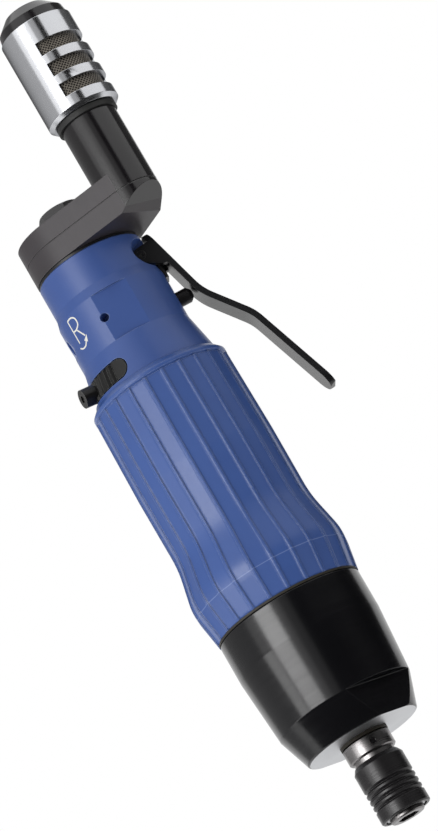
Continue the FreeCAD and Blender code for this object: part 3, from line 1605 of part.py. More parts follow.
arm.pocket(outline, S.arm_groove_depth, outward=True)
arm.drill_out(S.arm_duct_radius, S.arm_angle, duct_level, S.bolt_radius, S.arm_reach - S.bolt_radius)
socket_low = duct_level - recess_half
pipe_socket = S.pipe_radius + S.running_fit
arm.drill(pipe_socket, socket_low, arm_high - socket_low, x=S.arm_reach, turn=S.arm_angle)
arm.drill(S.riser_bore, arm_high, neck_high - arm_high, x=S.arm_reach, turn=S.arm_angle)
outline = arm.sketch("XZ", turn=S.arm_angle, reach=-S.exhaust_duct_side)
duct_start = S.exhaust_port_place - S.exhaust_duct_width / 2
duct_end = S.arm_reach - S.exhaust_duct_side
duct_low = arm_low + S.arm_groove_depth / 2
duct_high = arm_high + S.swivel_washer_height
outline.loop([
    (duct_start, duct_low),
    (duct_start + S.exhaust_duct_width, duct_low),
    (duct_end + S.exhaust_duct_width, duct_high),
    (duct_end, duct_high),
])
arm.pocket(outline, S.exhaust_duct_width, symmetric=True)
for index in range(2):
    level = riser_high + S.neck_port_first + S.neck_port_pitch * index
    outline = arm.sketch("XZ", turn=S.arm_angle)
    outline.circle(S.arm_reach, level, S.neck_port_radius)
    arm.pocket(outline, S.neck_radius * 3, symmetric=True)
    outline = arm.sketch("YZ", turn=S.arm_angle, reach=S.arm_reach)
    outline.circle(0, level, S.neck_port_radius)
    arm.pocket(outline, S.neck_radius * 3, symmetric=True)

bolt_low = keep("bolt_low", head_high - S.bolt_thread_length)
bolt_seat = keep("bolt_seat", arm_high + S.running_fit)
bolt_high = keep("bolt_high", bolt_seat + S.bolt_head_height)
bolt = Piece("swivel_bolt", bolt_low)
outline = bolt.sketch("XY", height=bolt_low)
outline.circle(0, 0, S.bolt_radius)
bolt.pad(outline, bolt_seat - bolt_low)
outline = bolt.sketch("XY", height=bolt_seat)
outline.polygon(6, S.bolt_across, S.bolt_turn)
bolt.pad(outline, S.bolt_head_height)
flat_half = S.bolt_across / 2
bolt.groove([
    (flat_half, bolt_high),
    (flat_half + S.bolt_chamfer, bolt_high),
    (flat_half + S.bolt_chamfer, bolt_high - S.bolt_chamfer_fall),
])
bolt.drill(S.bolt_bore, bolt_low, duct_level + S.bolt_bore - bolt_low)
outline = bolt.sketch("YZ")
outline.circle(0, duct_level, S.bolt_port_radius)
bolt.pocket(outline, S.bolt_radius * 3, symmetric=True)


# Inlet pipe, inlet bushing and silencer, all on the riser's axis

class RiserPiece(Piece):
    """Piece turned about the riser's axis."""

    def __init__(self, node, base):
        super().__init__(node, base)
        place_object(self.body, x=riser_x, y=riser_y, z=self.base)


def riser_ring(node, inner, outer, low, high):
    piece = RiserPiece(node, low)
    piece.turned([(inner, low), (outer, low), (outer, high), (inner, high)])
    return piece


bushing_low = keep("bushing_low", neck_high - S.inlet_stem_length)
pipe_low = keep("pipe_low", duct_level + S.arm_duct_radius)
pipe_high = keep("pipe_high", bushing_low + S.inlet_stem_length / 2)
riser_ring("inlet_pipe", S.pipe_radius - S.pipe_wall, S.pipe_radius, pipe_low, pipe_high)
collar_ring_low = riser_high - S.collar_ring_height
riser_ring("sleeve_collar", S.riser_radius, S.collar_ring_radius, collar_ring_low, riser_high)

stem_radius = S.riser_bore - S.running_fit
thread_low = keep("thread_low", cap_high - S.inlet_thread_length)
rim_low = keep("rim_low", thread_low - S.strainer_wall * 2)
rim_seat = S.inlet_low_bore + S.strainer_rim
band_high = cap_low + S.cap_band_height
inlet = RiserPiece("inlet_bushing", bushing_low)
inlet.turned([
    (pipe_socket, bushing_low),
    (stem_radius, bushing_low),
    (stem_radius, neck_high),
    (S.cap_skirt_radius, neck_high),
    (S.cap_skirt_radius, cap_low),
    (S.cap_radius, cap_low),
    (S.cap_radius - S.cap_taper, band_high),
    (S.cap_top_radius, cap_high),
    (S.inlet_thread_radius, cap_high),
    (S.inlet_thread_radius, thread_low),
    (rim_seat, thread_low),
    (rim_seat, rim_low),
    (S.inlet_low_bore, rim_low),
    (S.inlet_low_bore, pipe_high),
    (pipe_socket, pipe_high),
])
thimble_radius = S.inlet_low_bore - S.grip_fit
rim_radius = rim_seat - S.grip_fit
thimble = RiserPiece("inlet_strainer", pipe_high)
thimble_low = pipe_high + S.strainer_wall
thimble.turned([
    (0, thimble_low),
    (thimble_radius, thimble_low),
    (thimble_radius, rim_low),
    (rim_radius, rim_low),
    (rim_radius, rim_low + S.strainer_wall),
    (thimble_radius - S.strainer_wall, rim_low + S.strainer_wall),
    (thimble_radius - S.strainer_wall, thimble_low + S.strainer_wall),
    (0, thimble_low + S.strainer_wall),
])
outline = thimble.sketch("XY", height=thimble_low)
outline.circle(thimble_radius / 2, 0, S.strainer_hole_radius)
hole = thimble.pocket(outline, S.strainer_wall, outward=True)
thimble.repeat([hole], S.vane_count)

silencer = RiserPiece("silencer_sleeve", silencer_low)
lip_high = keep("lip_high", silencer_low + S.silencer_lip)
silencer_inner = S.silencer_radius - S.silencer_wall
silencer.turned([
    (S.neck_radius + S.silencer_fit, silencer_low),
    (S.silencer_radius - S.silencer_chamfer, silencer_low),
    (S.silencer_radius, silencer_low + S.silencer_chamfer),
    (S.silencer_radius, silencer_high),
    (S.cap_skirt_radius + S.silencer_fit, silencer_high),
    (S.cap_skirt_radius + S.silencer_fit, neck_high),
    (silencer_inner, neck_high),
    (silencer_inner, lip_high),
    (S.neck_radius + S.silencer_fit, lip_high),
])
slot_floor = silencer_inner - S.mesh_wall / 2
slot_face = S.silencer_radius + S.overcut
for index in range(int(S.slot_count.value)):
    level = silencer_low + S.slot_first + S.slot_pitch * index
    silencer.groove([
        (slot_floor, level),
        (slot_face, level),
        (slot_face, level + S.slot_height),
        (slot_floor, level + S.slot_height),
    ], turn=S.arm_angle, angle=S.slot_half_angle * 2)
riser_ring("silencer_mesh", silencer_inner - S.mesh_wall, silencer_inner, lip_high, neck_high)

# Check every object, then write each sub-part to its own file

doc.recompute()
NODES = (
    "anvil_shaft driving_blades blade_springs retaining_ball anvil_collar collar_pin shaft_o_ring "
    "sleeve_washer snap_ring sleeve_spring bit_sleeve pulse_case pulse_liner front_liner_plate "
    "rear_liner_plate case_cover cover_screws case_o_ring rotor rotor_vanes "
    "front_inner_race rear_inner_race front_outer_race "
    "rear_outer_race front_end_plate rear_end_plate motor_cylinder cylinder_dowel "
    "motor_clamp_ring pulse_housing nose_bush dust_ring joint_ring grip handle_body valve_spacer "
    "throttle_bush bush_o_ring valve_spring throttle_valve push_pin supply_strainer port_plug "
    "lever_stop lever_pin throttle_lever detent_ball detent_spring reverse_slider reverse_knob "
    "reverse_valve swivel_bolt swivel_washer swivel_arm inlet_pipe sleeve_collar inlet_bushing "
    "inlet_strainer silencer_sleeve silencer_mesh"
).split()
faults = []
for thing in doc.Objects:
    if "Invalid" in thing.State or "Error" in thing.State:
        faults.append(thing.Name + " failed")
by_label = {thing.Label: thing for thing in doc.Objects if hasattr(thing, "Shape")}
for node in NODES:
    shape = by_label[node].Shape
    if shape.isNull() or not shape.isValid() or not shape.Solids:
        faults.append(node + " has no sound shape")
if faults:
    raise RuntimeError("faults: " + ", ".join(faults))
os.makedirs("parts", exist_ok=True)
for node in NODES:
    by_label[node].Shape.exportStep("parts/" + node + ".step")
print("written", len(NODES))
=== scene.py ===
"""Looks of a straight oil pulse screwdriver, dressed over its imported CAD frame, in metres.

Z is the spindle's axis, from the mouth of the bit socket to the rear. The throttle lever is on +X.
"""
import functools
import logging
import math
from dataclasses import dataclass, field
from enum import Enum

import bpy
from mathutils import Matrix, Vector


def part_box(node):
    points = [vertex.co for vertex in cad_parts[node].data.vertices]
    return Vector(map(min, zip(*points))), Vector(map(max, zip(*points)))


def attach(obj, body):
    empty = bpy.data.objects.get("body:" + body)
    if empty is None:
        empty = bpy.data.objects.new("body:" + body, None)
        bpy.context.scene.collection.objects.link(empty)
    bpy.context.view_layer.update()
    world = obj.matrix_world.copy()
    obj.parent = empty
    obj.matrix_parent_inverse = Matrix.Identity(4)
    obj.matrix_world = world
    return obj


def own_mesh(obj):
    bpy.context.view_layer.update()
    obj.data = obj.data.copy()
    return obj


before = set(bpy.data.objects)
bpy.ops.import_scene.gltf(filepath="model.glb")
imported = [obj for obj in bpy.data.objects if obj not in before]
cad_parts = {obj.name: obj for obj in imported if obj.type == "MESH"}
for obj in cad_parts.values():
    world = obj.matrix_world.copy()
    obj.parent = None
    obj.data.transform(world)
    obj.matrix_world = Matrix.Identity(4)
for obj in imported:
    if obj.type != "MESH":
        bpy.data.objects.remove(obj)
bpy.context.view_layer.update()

MILLIMETRE = 0.001
LOG = logging.getLogger("screwdriver")


class Weave(Enum):
    """How a surface's fine marks run."""

    NONE = "none"
    TURNED = "turned"
    BRUSHED = "brushed"
    MOULDED = "moulded"
    CAST = "cast"


class Nodes:
    """Short calls for building one material's node tree."""

    def __init__(self, name: str) -> None:
        """Makes an empty material.

        Args:
            name: The material's name.
        """
        self.material = bpy.data.materials.new(name)
        self.material.use_nodes = True
        self.tree = self.material.node_tree
        self.tree.nodes.clear()
        self.place = self.add("ShaderNodeTexCoord").outputs["Object"]

    def add(self, kind: str, **settings: object) -> bpy.types.Node:
        """Adds a node.

        Args:
            kind: The node's type name.
            settings: Properties of the node.

        Returns:
            The new node.
        """
        node = self.tree.nodes.new(kind)
        for name, value in settings.items():
            setattr(node, name, value)
        return node

    def link(self, source: bpy.types.NodeSocket, target: bpy.types.NodeSocket) -> None:
        """Joins two sockets."""
        self.tree.links.new(source, target)

    def stretched(self, scale: tuple[float, float, float]) -> bpy.types.NodeSocket:
        """Object coordinates scaled apart along each axis.

        Args:
            scale: The factor along X, Y and Z.

        Returns:
            The scaled place.
        """
        mapping = self.add("ShaderNodeMapping")
        mapping.inputs["Scale"].default_value = scale
        self.link(self.place, mapping.inputs["Vector"])
        return mapping.outputs["Vector"]

    def noise(self, scale: float, detail: float = 3.0, stretch: tuple = (1, 1, 1)) -> bpy.types.NodeSocket:
        """Soft random pattern.

        Args:
            scale: Marks per metre.
            detail: Octaves of the pattern.
            stretch: Factors along X, Y and Z.

        Returns:
            The pattern's value, about 0 to 1.
        """
        node = self.add("ShaderNodeTexNoise")
        node.inputs["Scale"].default_value = scale
        node.inputs["Detail"].default_value = detail
        self.link(self.stretched(stretch), node.inputs["Vector"])
        return node.outputs["Fac"]

    def spread(self, value: bpy.types.NodeSocket, low: float, high: float, start: float = 0.3,
               end: float = 0.7) -> bpy.types.NodeSocket:
        """Maps a pattern to a range.

        Args:
            value: The pattern.
            low: Result at the start.
            high: Result at the end.
            start: Pattern value that gives low.
            end: Pattern value that gives high.

        Returns:
            The mapped value.
        """
        node = self.add("ShaderNodeMapRange", interpolation_type="SMOOTHSTEP")
        for name, number in (("From Min", start), ("From Max", end), ("To Min", low), ("To Max", high)):
            node.inputs[name].default_value = number
        self.link(value, node.inputs["Value"])
        return node.outputs["Result"]

    def between(self, factor: bpy.types.NodeSocket, first: tuple, second: tuple) -> bpy.types.NodeSocket:
        """Mixes two colours by a pattern.

        Args:
            factor: Share of the second colour.
            first: Linear colour.
            second: Linear colour.

        Returns:
            The mixed colour.
        """
        node = self.add("ShaderNodeMix", data_type="RGBA")
        node.inputs["A"].default_value = (*first, 1)
        node.inputs["B"].default_value = (*second, 1)
        self.link(factor, node.inputs["Factor"])
        return node.outputs["Result"]

    def rounded(self, radius: float) -> bpy.types.NodeSocket:
        """Normal of the surface with its edges rounded.

        Args:
            radius: Radius of the edges in metres.

        Returns:
            The normal.
        """
        bevel = self.add("ShaderNodeBevel", samples=6)
        bevel.inputs["Radius"].default_value = radius
        return bevel.outputs["Normal"]

    def edges(self, rounded: bpy.types.NodeSocket) -> bpy.types.NodeSocket:
        """Pattern that is 1 on the edges and 0 on the faces.

        Args:
            rounded: Normal of the surface with its edges rounded.

        Returns:
            The pattern.
        """
        geometry = self.add("ShaderNodeNewGeometry")
        along = self.add("ShaderNodeVectorMath", operation="DOT_PRODUCT")
        self.link(geometry.outputs["Normal"], along.inputs[0])
        self.link(rounded, along.inputs[1])
        return self.spread(along.outputs["Value"], 1.0, 0.0, 0.90, 0.99)

    def bumped(self, heights: list[tuple[bpy.types.NodeSocket, float]],
               normal: bpy.types.NodeSocket) -> bpy.types.NodeSocket:
        """Adds small surface marks to a normal.

        Args:
            heights: Each pattern with its height in metres.
            normal: The normal below the marks.

        Returns:
            The normal.
        """
        for pattern, height in heights:
            bump = self.add("ShaderNodeBump")
            bump.inputs["Distance"].default_value = height
            bump.inputs["Strength"].default_value = 1.0
            self.link(pattern, bump.inputs["Height"])
            self.link(normal, bump.inputs["Normal"])
            normal = bump.outputs["Normal"]
        return normal

    def finish(self, shader: bpy.types.Node) -> bpy.types.Material:
        """Puts the shader on the surface.

        Args:
            shader: The node that gives the surface.

        Returns:
            The material.
        """
        output = self.add("ShaderNodeOutputMaterial")
        self.link(shader.outputs[0], output.inputs["Surface"])
        return self.material


@dataclass(frozen=True)
class Finish:
    """One finish of the tool: a colour with its gloss and fine marks."""

    name: str
    colour: tuple[float, float, float]
    shade: tuple[float, float, float]
    rough: tuple[float, float]
    metal: float = 0.0
    weave: Weave = Weave.NONE
    grain: float = 900.0
    grain_height: float = 2e-6
    wave_height: float = 0.0
    # Share and colour of the pale sharp edges, convex and concave alike: rubbed wear together with a
    # painted edge highlight.
    wear_and_highlight: float = 0.0
    wear_and_highlight_colour: tuple[float, float, float] = (0.3, 0.3, 0.3)
    specular: float = 0.5
    streak: float = 0.0
    rim: float = 1.0
    edge: float = 0.2 * MILLIMETRE
    soften: float = 0.0
    seam: float = 0.0
    seam_width: float = 0.22 * MILLIMETRE
    seam_strength: float = 0.35
    blotches: float = 65.0
    waves: float = 140.0
    # Marks per metre of the patches that break up the pale edges of wear and painted highlight.
    edge_patches: float = 420.0
    streak_turn: float = 0.25

    def marks(self, nodes: Nodes) -> bpy.types.NodeSocket:
        """Pattern of the finish's fine marks.

        Args:
            nodes: The material's nodes.

        Returns:
            The pattern.
        """
        stretch = {
            Weave.TURNED: (0.06, 0.06, 4.0),
            Weave.BRUSHED: (3.0, 3.0, 0.08),
        }.get(self.weave, (1, 1, 1))
        return nodes.noise(self.grain, 4.0, stretch)

    @functools.cache
    def material(self) -> bpy.types.Material:
        """Builds the finish.

        Returns:
            The material, made once and used again.
        """
        nodes = Nodes(self.name)
        shader = nodes.add("ShaderNodeBsdfPrincipled")
        marks = self.marks(nodes)
        blotches = nodes.noise(self.blotches, 5.0)
        colour = nodes.between(nodes.spread(blotches, 0.0, 1.0), self.colour, self.shade)
        rough = nodes.spread(marks, self.rough[0], self.rough[1])
        rounded = nodes.rounded(self.edge)
        # Pale sharp edges: wear together with a painted edge highlight.
        if self.wear_and_highlight:
            colour = self.lighten_edges(nodes, colour, rounded)
        if self.seam:
            colour = self.seamed(nodes, colour)
        if self.soften:
            rounded = nodes.rounded(self.soften)
        nodes.link(colour, shader.inputs["Base Color"])
        nodes.link(rough, shader.inputs["Roughness"])
        shader.inputs["Metallic"].default_value = self.metal
        shader.inputs["Specular IOR Level"].default_value = self.specular
        shader.inputs["Specular Tint"].default_value = (self.rim, self.rim, self.rim, 1)
        if self.streak:
            tangent = nodes.add("ShaderNodeTangent", direction_type="RADIAL", axis="Z")
            nodes.link(tangent.outputs["Tangent"], shader.inputs["Tangent"])
            shader.inputs["Anisotropic"].default_value = self.streak
            shader.inputs["Anisotropic Rotation"].default_value = self.streak_turn
        heights = []
        if self.grain_height:
            heights.append((marks, self.grain_height))
        if self.wave_height:
            heights.append((nodes.noise(self.waves, 2.0), self.wave_height))
        nodes.link(nodes.bumped(heights, rounded), shader.inputs["Normal"])
        return nodes.finish(shader)

    def seamed(self, nodes: Nodes, colour: bpy.types.NodeSocket) -> bpy.types.NodeSocket:
        """Draws the mould's parting line round the piece.

        Args:
            nodes: The material's nodes.
            colour: The colour of the whole surface.

        Returns:
            The colour with its faint pale line.
        """
        parts = nodes.add("ShaderNodeSeparateXYZ")
        nodes.link(nodes.place, parts.inputs["Vector"])
        away = nodes.add("ShaderNodeMath", operation="COMPARE")
        nodes.link(parts.outputs["Z"], away.inputs[0])
        away.inputs[1].default_value = self.seam
        away.inputs[2].default_value = self.seam_width / 2
        line = nodes.spread(away.outputs[0], 0.0, self.seam_strength, 0.0, 1.0)
        return self.lightened(nodes, colour, line)

    def lighten_edges(self, nodes: Nodes, colour: bpy.types.NodeSocket,
             rounded: bpy.types.NodeSocket) -> bpy.types.NodeSocket:
        """Lightens the sharp edges, convex and concave alike: rubbed wear together with a painted edge
        highlight.

        Args:
            nodes: The material's nodes.
            colour: The colour of the whole surface.
            rounded: Normal of the surface with its edges rounded.

        Returns:
            The colour with its pale edges of wear and painted highlight.
        """
        edge_share = nodes.add("ShaderNodeMath", operation="MULTIPLY")
        nodes.link(nodes.edges(rounded), edge_share.inputs[0])
        nodes.link(nodes.spread(nodes.noise(self.edge_patches, 4.0), self.wear_and_highlight * 0.5, self.wear_and_highlight), edge_share.inputs[1])
        return self.lightened(nodes, colour, edge_share.outputs[0])

    def lightened(self, nodes: Nodes, colour: bpy.types.NodeSocket,
               share: bpy.types.NodeSocket) -> bpy.types.NodeSocket:
        """Mixes the pale colour of wear and painted edge highlight into the surface.

        Args:
            nodes: The material's nodes.
            colour: The colour of the whole surface.
            share: Share of the pale colour.

        Returns:
            The mixed colour.
        """
        mix = nodes.add("ShaderNodeMix", data_type="RGBA")
        nodes.link(share, mix.inputs["Factor"])
        nodes.link(colour, mix.inputs["A"])
        mix.inputs["B"].default_value = (*self.wear_and_highlight_colour, 1)
        return mix.outputs["Result"]


# In these finishes the edge share and pale edge colour paint rubbed wear together with a painted edge
# highlight.
BLUE_PAINT = Finish(
    "blue_paint", (0.039, 0.082, 0.265), (0.036, 0.076, 0.250), (0.32, 0.38),
    weave=Weave.MOULDED, grain=1400, grain_height=0.8e-6, wave_height=2e-6, wear_and_highlight=0.7,
    wear_and_highlight_colour=(0.20, 0.27, 0.48), edge=0.3 * MILLIMETRE,
)
# Pale rib edges of the grip: painted highlight lines together with wear.
BLUE_GRIP = Finish(
    "grip_blue", (0.040, 0.090, 0.290), (0.037, 0.083, 0.272), (0.28, 0.34),
    weave=Weave.MOULDED, grain=1800, grain_height=0.5e-6, wave_height=2e-6, wear_and_highlight=1.0,
    wear_and_highlight_colour=(0.30, 0.38, 0.64), edge=0.16 * MILLIMETRE, soften=1.2 * MILLIMETRE,
    seam=85.3 * MILLIMETRE,
)
BLACK_GLOSS = Finish(
    "black_gloss", (0.004, 0.004, 0.005), (0.003, 0.003, 0.004), (0.16, 0.22),
    weave=Weave.TURNED, grain=700, grain_height=0.4e-6, wear_and_highlight=0.1, edge=0.3 * MILLIMETRE,
)
BLACK_ANODISED = Finish(
    "black_anodising", (0.006, 0.005, 0.006), (0.005, 0.004, 0.005), (0.17, 0.20),
    weave=Weave.TURNED, grain=1200, grain_height=0.1e-6, wear_and_highlight=0.2, specular=0.7,
    edge=0.25 * MILLIMETRE,
)
SATIN_ANODISED = Finish(
    "satin_anodising", (0.034, 0.029, 0.033), (0.029, 0.025, 0.028), (0.40, 0.46),
    weave=Weave.BRUSHED, grain=1200, grain_height=0.3e-6, wear_and_highlight=0.2, edge=0.25 * MILLIMETRE,
)
NOSE_STEEL = Finish(
    "collar_steel", (0.27, 0.26, 0.26), (0.24, 0.23, 0.23), (0.27, 0.32), metal=1.0,
    weave=Weave.TURNED, grain=900, grain_height=0.5e-6, wear_and_highlight=0.4, wear_and_highlight_colour=(0.42, 0.42, 0.42),
    edge=0.12 * MILLIMETRE,
)
BLACK_STEEL = Finish(
    "black_steel", (0.012, 0.011, 0.012), (0.015, 0.014, 0.015), (0.26, 0.36), metal=0.2,
    weave=Weave.TURNED, grain=900, grain_height=1.2e-6, wear_and_highlight=0.5, wear_and_highlight_colour=(0.30, 0.30, 0.30),
    edge=0.12 * MILLIMETRE,
)
LEVER_BLACK = Finish(
    "lever_black", (0.008, 0.008, 0.009), (0.007, 0.007, 0.008), (0.28, 0.32),
    weave=Weave.MOULDED, grain=1500, grain_height=0.0, wear_and_highlight=0.15, edge=0.12 * MILLIMETRE,
)
# Pale groove edges of the slide: painted highlight lines together with wear.
SLIDE_BLACK = Finish(
    "slide_black", (0.006, 0.006, 0.006), (0.008, 0.008, 0.008), (0.30, 0.40),
    weave=Weave.MOULDED, grain=1700, grain_height=0.5e-6, wear_and_highlight=0.9, wear_and_highlight_colour=(0.30, 0.30, 0.29),
    specular=0.35, edge=0.1 * MILLIMETRE,
)
SILENCER_ALUMINIUM = Finish(
    "silencer_aluminium", (0.73, 0.74, 0.77), (0.70, 0.71, 0.74), (0.19, 0.21), metal=1.0,
    weave=Weave.TURNED, grain=1500, grain_height=0.0, streak=0.7, rim=0.25,
    edge=0.2 * MILLIMETRE,
)
FACED_ALUMINIUM = Finish(
    "faced_aluminium", (0.66, 0.67, 0.69), (0.62, 0.63, 0.65), (0.34, 0.40), metal=1.0,
    weave=Weave.TURNED, grain=800, grain_height=0.5e-6, edge=0.2 * MILLIMETRE,
)
BRIGHT_STEEL = Finish(
    "ground_steel", (0.55, 0.55, 0.56), (0.45, 0.45, 0.46), (0.22, 0.34), metal=1.0,
    weave=Weave.TURNED, grain=900, grain_height=1.5e-6, edge=0.1 * MILLIMETRE,
)
SPRING_STEEL = Finish(
    "spring_wire", (0.40, 0.40, 0.41), (0.30, 0.30, 0.31), (0.25, 0.35), metal=1.0,
    weave=Weave.BRUSHED, grain=1500, edge=0.05 * MILLIMETRE,
)
CAST_IRON = Finish(
    "grey_iron", (0.16, 0.16, 0.165), (0.12, 0.12, 0.12), (0.45, 0.6), metal=0.8,
    weave=Weave.CAST, grain=1100, grain_height=8e-6,
)
BRASS = Finish(
    "yellow_brass", (0.55, 0.38, 0.14), (0.45, 0.30, 0.10), (0.25, 0.36), metal=1.0,
    weave=Weave.TURNED, grain=900, grain_height=1.5e-6, edge=0.1 * MILLIMETRE,
)
SEAL_RUBBER = Finish(
    "seal_rubber", (0.012, 0.012, 0.012), (0.018, 0.018, 0.017), (0.5, 0.65),
    weave=Weave.MOULDED, grain=1600, grain_height=3e-6, edge=0.15 * MILLIMETRE,
)
OLIVE_GASKET = Finish(
    "olive_gasket", (0.016, 0.013, 0.008), (0.026, 0.022, 0.012), (0.5, 0.7),
    weave=Weave.CAST, grain=1500, grain_height=4e-6, edge=0.1 * MILLIMETRE,
)
VANE_RESIN = Finish(
    "vane_resin", (0.16, 0.08, 0.03), (0.12, 0.06, 0.02), (0.5, 0.6),
    weave=Weave.BRUSHED, grain=900, grain_height=4e-6,
)
MARK_WHITE = Finish(
    "mark_white", (0.72, 0.71, 0.66), (0.62, 0.61, 0.56), (0.5, 0.65),
    weave=Weave.CAST, grain=2500, grain_height=8e-6, edge=0.05 * MILLIMETRE,
)


@dataclass(frozen=True)
class WovenWire:
    """Woven wire gauze, its wires crossing on the slant round a tube."""

    name: str
    centre: tuple[float, float] = (0.0, 0.0)
    radius: float = 10.0 * MILLIMETRE
    wire: tuple[float, float, float] = (0.30, 0.27, 0.23)
    # Colour of the openings between the wires: painted shade, for the dark inside of the tube.
    gap_shade: tuple[float, float, float] = (0.020, 0.017, 0.014)
    pitch: float = 0.8 * MILLIMETRE
    relief: float = 0.1 * MILLIMETRE
    edge: float = 0.05 * MILLIMETRE
    metal: float = 0.6
    rough: float = 0.42

    @functools.cache
    def material(self) -> bpy.types.Material:
        """Builds the gauze.

        Returns:
            The material.
        """
        nodes = Nodes(self.name)
        shader = nodes.add("ShaderNodeBsdfPrincipled")
        shader.inputs["Metallic"].default_value = self.metal
        shader.inputs["Roughness"].default_value = self.rough
        around, height = self.unrolled(nodes)
        first = self.wires(nodes, around, height, 1.0)
        second = self.wires(nodes, around, height, -1.0)
        crossing = nodes.add("ShaderNodeMath", operation="MAXIMUM")
        nodes.link(first, crossing.inputs[0])
        nodes.link(second, crossing.inputs[1])
        strands = nodes.spread(crossing.outputs[0], 0.0, 1.0, 0.2, 0.95)
        # Openings between the wires painted dark as shade.
        nodes.link(nodes.between(strands, self.gap_shade, self.wire), shader.inputs["Base Color"])
        bumped = nodes.bumped([(strands, self.relief)], nodes.rounded(self.edge))
        nodes.link(bumped, shader.inputs["Normal"])
        return nodes.finish(shader)

    def unrolled(self, nodes: Nodes) -> tuple[bpy.types.NodeSocket, bpy.types.NodeSocket]:
        """Way round the tube and height, both in metres.

        Args:
            nodes: The material's nodes.

        Returns:
            The two lengths.
        """
        mapping = nodes.add("ShaderNodeMapping")
        mapping.inputs["Location"].default_value = (-self.centre[0], -self.centre[1], 0)
        nodes.link(nodes.place, mapping.inputs["Vector"])
        parts = nodes.add("ShaderNodeSeparateXYZ")
        nodes.link(mapping.outputs["Vector"], parts.inputs["Vector"])
        turn = nodes.add("ShaderNodeMath", operation="ARCTAN2")
        nodes.link(parts.outputs["Y"], turn.inputs[0])
        nodes.link(parts.outputs["X"], turn.inputs[1])
        around = nodes.add("ShaderNodeMath", operation="MULTIPLY")
        nodes.link(turn.outputs[0], around.inputs[0])
        around.inputs[1].default_value = self.radius
        return around.outputs[0], parts.outputs["Z"]

    def wires(self, nodes: Nodes, around: bpy.types.NodeSocket, height: bpy.types.NodeSocket,
              slant: float) -> bpy.types.NodeSocket:
        """Wires of one direction.

        Args:
            nodes: The material's nodes.
            around: Way round the tube.
            height: Height on the tube.
            slant: 1 or -1 for the two directions.

        Returns:
            A pattern that peaks along each wire.
        """
        place = nodes.add("ShaderNodeMath", operation="MULTIPLY_ADD")
        nodes.link(around, place.inputs[0])
        place.inputs[1].default_value = slant
        nodes.link(height, place.inputs[2])
        phase = nodes.add("ShaderNodeMath", operation="MULTIPLY")
        nodes.link(place.outputs[0], phase.inputs[0])
        phase.inputs[1].default_value = 2 * math.pi / (self.pitch * math.sqrt(2))
        wave = nodes.add("ShaderNodeMath", operation="SINE")
        nodes.link(phase.outputs[0], wave.inputs[0])
        return wave.outputs[0]


class Assembly:
    """A sub-assembly of the tool, with its CAD nodes and their finishes."""

    title: str = ""

    def finishes(self) -> dict[str, Finish | WovenWire]:
        """Finish of each CAD node."""
        return {}

    def build(self) -> None:
        """Makes the meshes that the CAD frame leaves to the looks."""

    def dress(self) -> None:
        """Gives every CAD node of the sub-assembly its finish."""
        for node, finish in self.finishes().items():
            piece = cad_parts[node]
            piece.data.materials.clear()
            piece.data.materials.append(finish.material())
            for polygon in piece.data.polygons:
                polygon.material_index = 0
            LOG.info("%s: %s in %s", self.title, node, finish.name)


def flat_band(name: str, path: list[tuple[float, float]], width: float, radius: float, rise: float,
              smooth: bool = False) -> bpy.types.Object:
    """Painted stroke wrapped round a cylinder about Z.

    Args:
        name: The piece's name.
        path: Points as (angle in degrees, height in metres) along the stroke.
        width: Width of the stroke in metres.
        radius: Radius of the cylinder that carries it.
        rise: Thickness of the paint.
        smooth: Whether the stroke runs as a curve through the points.

    Returns:
        The stroke as a mesh.
    """
    points = [Vector((math.radians(angle) * radius, height)) for angle, height in path]
    if smooth:
        points = rounded_path(points, 6)
    outline = stroke_outline(points, width)
    return wrapped_sheet(name, outline, radius, rise)


def rounded_path(points: list[Vector], steps: int) -> list[Vector]:
    """Smooth line through points.

    Args:
        points: The points to pass.
        steps: Pieces between two points.

    Returns:
        Points along the smooth line.
    """
    ends = [points[0] * 2 - points[1], *points, points[-1] * 2 - points[-2]]
    line = []
    for before, start, end, after in zip(ends, ends[1:], ends[2:], ends[3:]):
        for step in range(steps):
            t = step / steps
            bend = (start * 2 + (end - before) * t + (before * 2 - start * 5 + end * 4 - after) * t * t
                    + (start * 3 - before - end * 3 + after) * t ** 3)
            line.append(bend / 2)
    line.append(points[-1])
    return line


def stroke_outline(points: list[Vector], width: float) -> list[tuple[Vector, Vector]]:
    """Left and right side of a stroke with the same width all along.

    Args:
        points: The stroke's middle line, on the unrolled surface.
        width: Its width.

    Returns:
        Pairs of side points.
    """
    sides = []
    for index, point in enumerate(points):
        before = points[max(index - 1, 0)]
        after = points[min(index + 1, len(points) - 1)]
        run = (after - before).normalized()
        across = Vector((-run.y, run.x)) * width / 2
        sides.append((point + across, point - across))
    return sides


def wrapped_sheet(name: str, sides: list[tuple[Vector, Vector]], radius: float,
                  rise: float) -> bpy.types.Object:
    """Closed thin solid between two side lines, wrapped round Z.

    Args:
        name: The piece's name.
        sides: Pairs of side points on the unrolled surface.
        radius: Radius of the surface below.
        rise: Thickness of the sheet.

    Returns:
        The mesh object.
    """
    corners, faces = [], []
    for left, right in sides:
        for point in (left, right):
            angle = point.x / radius
            for reach in (radius - rise, radius + rise):
                corners.append((reach * math.cos(angle), reach * math.sin(angle), point.y))
    for index in range(len(sides) - 1):
        first, after = index * 4, index * 4 + 4
        faces += [
            (first + 1, after + 1, after + 3, first + 3),
            (first, first + 2, after + 2, after),
            (first, after, after + 1, first + 1),
            (first + 2, first + 3, after + 3, after + 2),
        ]
    last = (len(sides) - 1) * 4
    faces += [(0, 1, 3, 2), (last, last + 2, last + 3, last + 1)]
    mesh = bpy.data.meshes.new(name)
    mesh.from_pydata(corners, [], faces)
    mesh.update()
    piece = bpy.data.objects.new(name, mesh)
    bpy.context.scene.collection.objects.link(piece)
    return piece


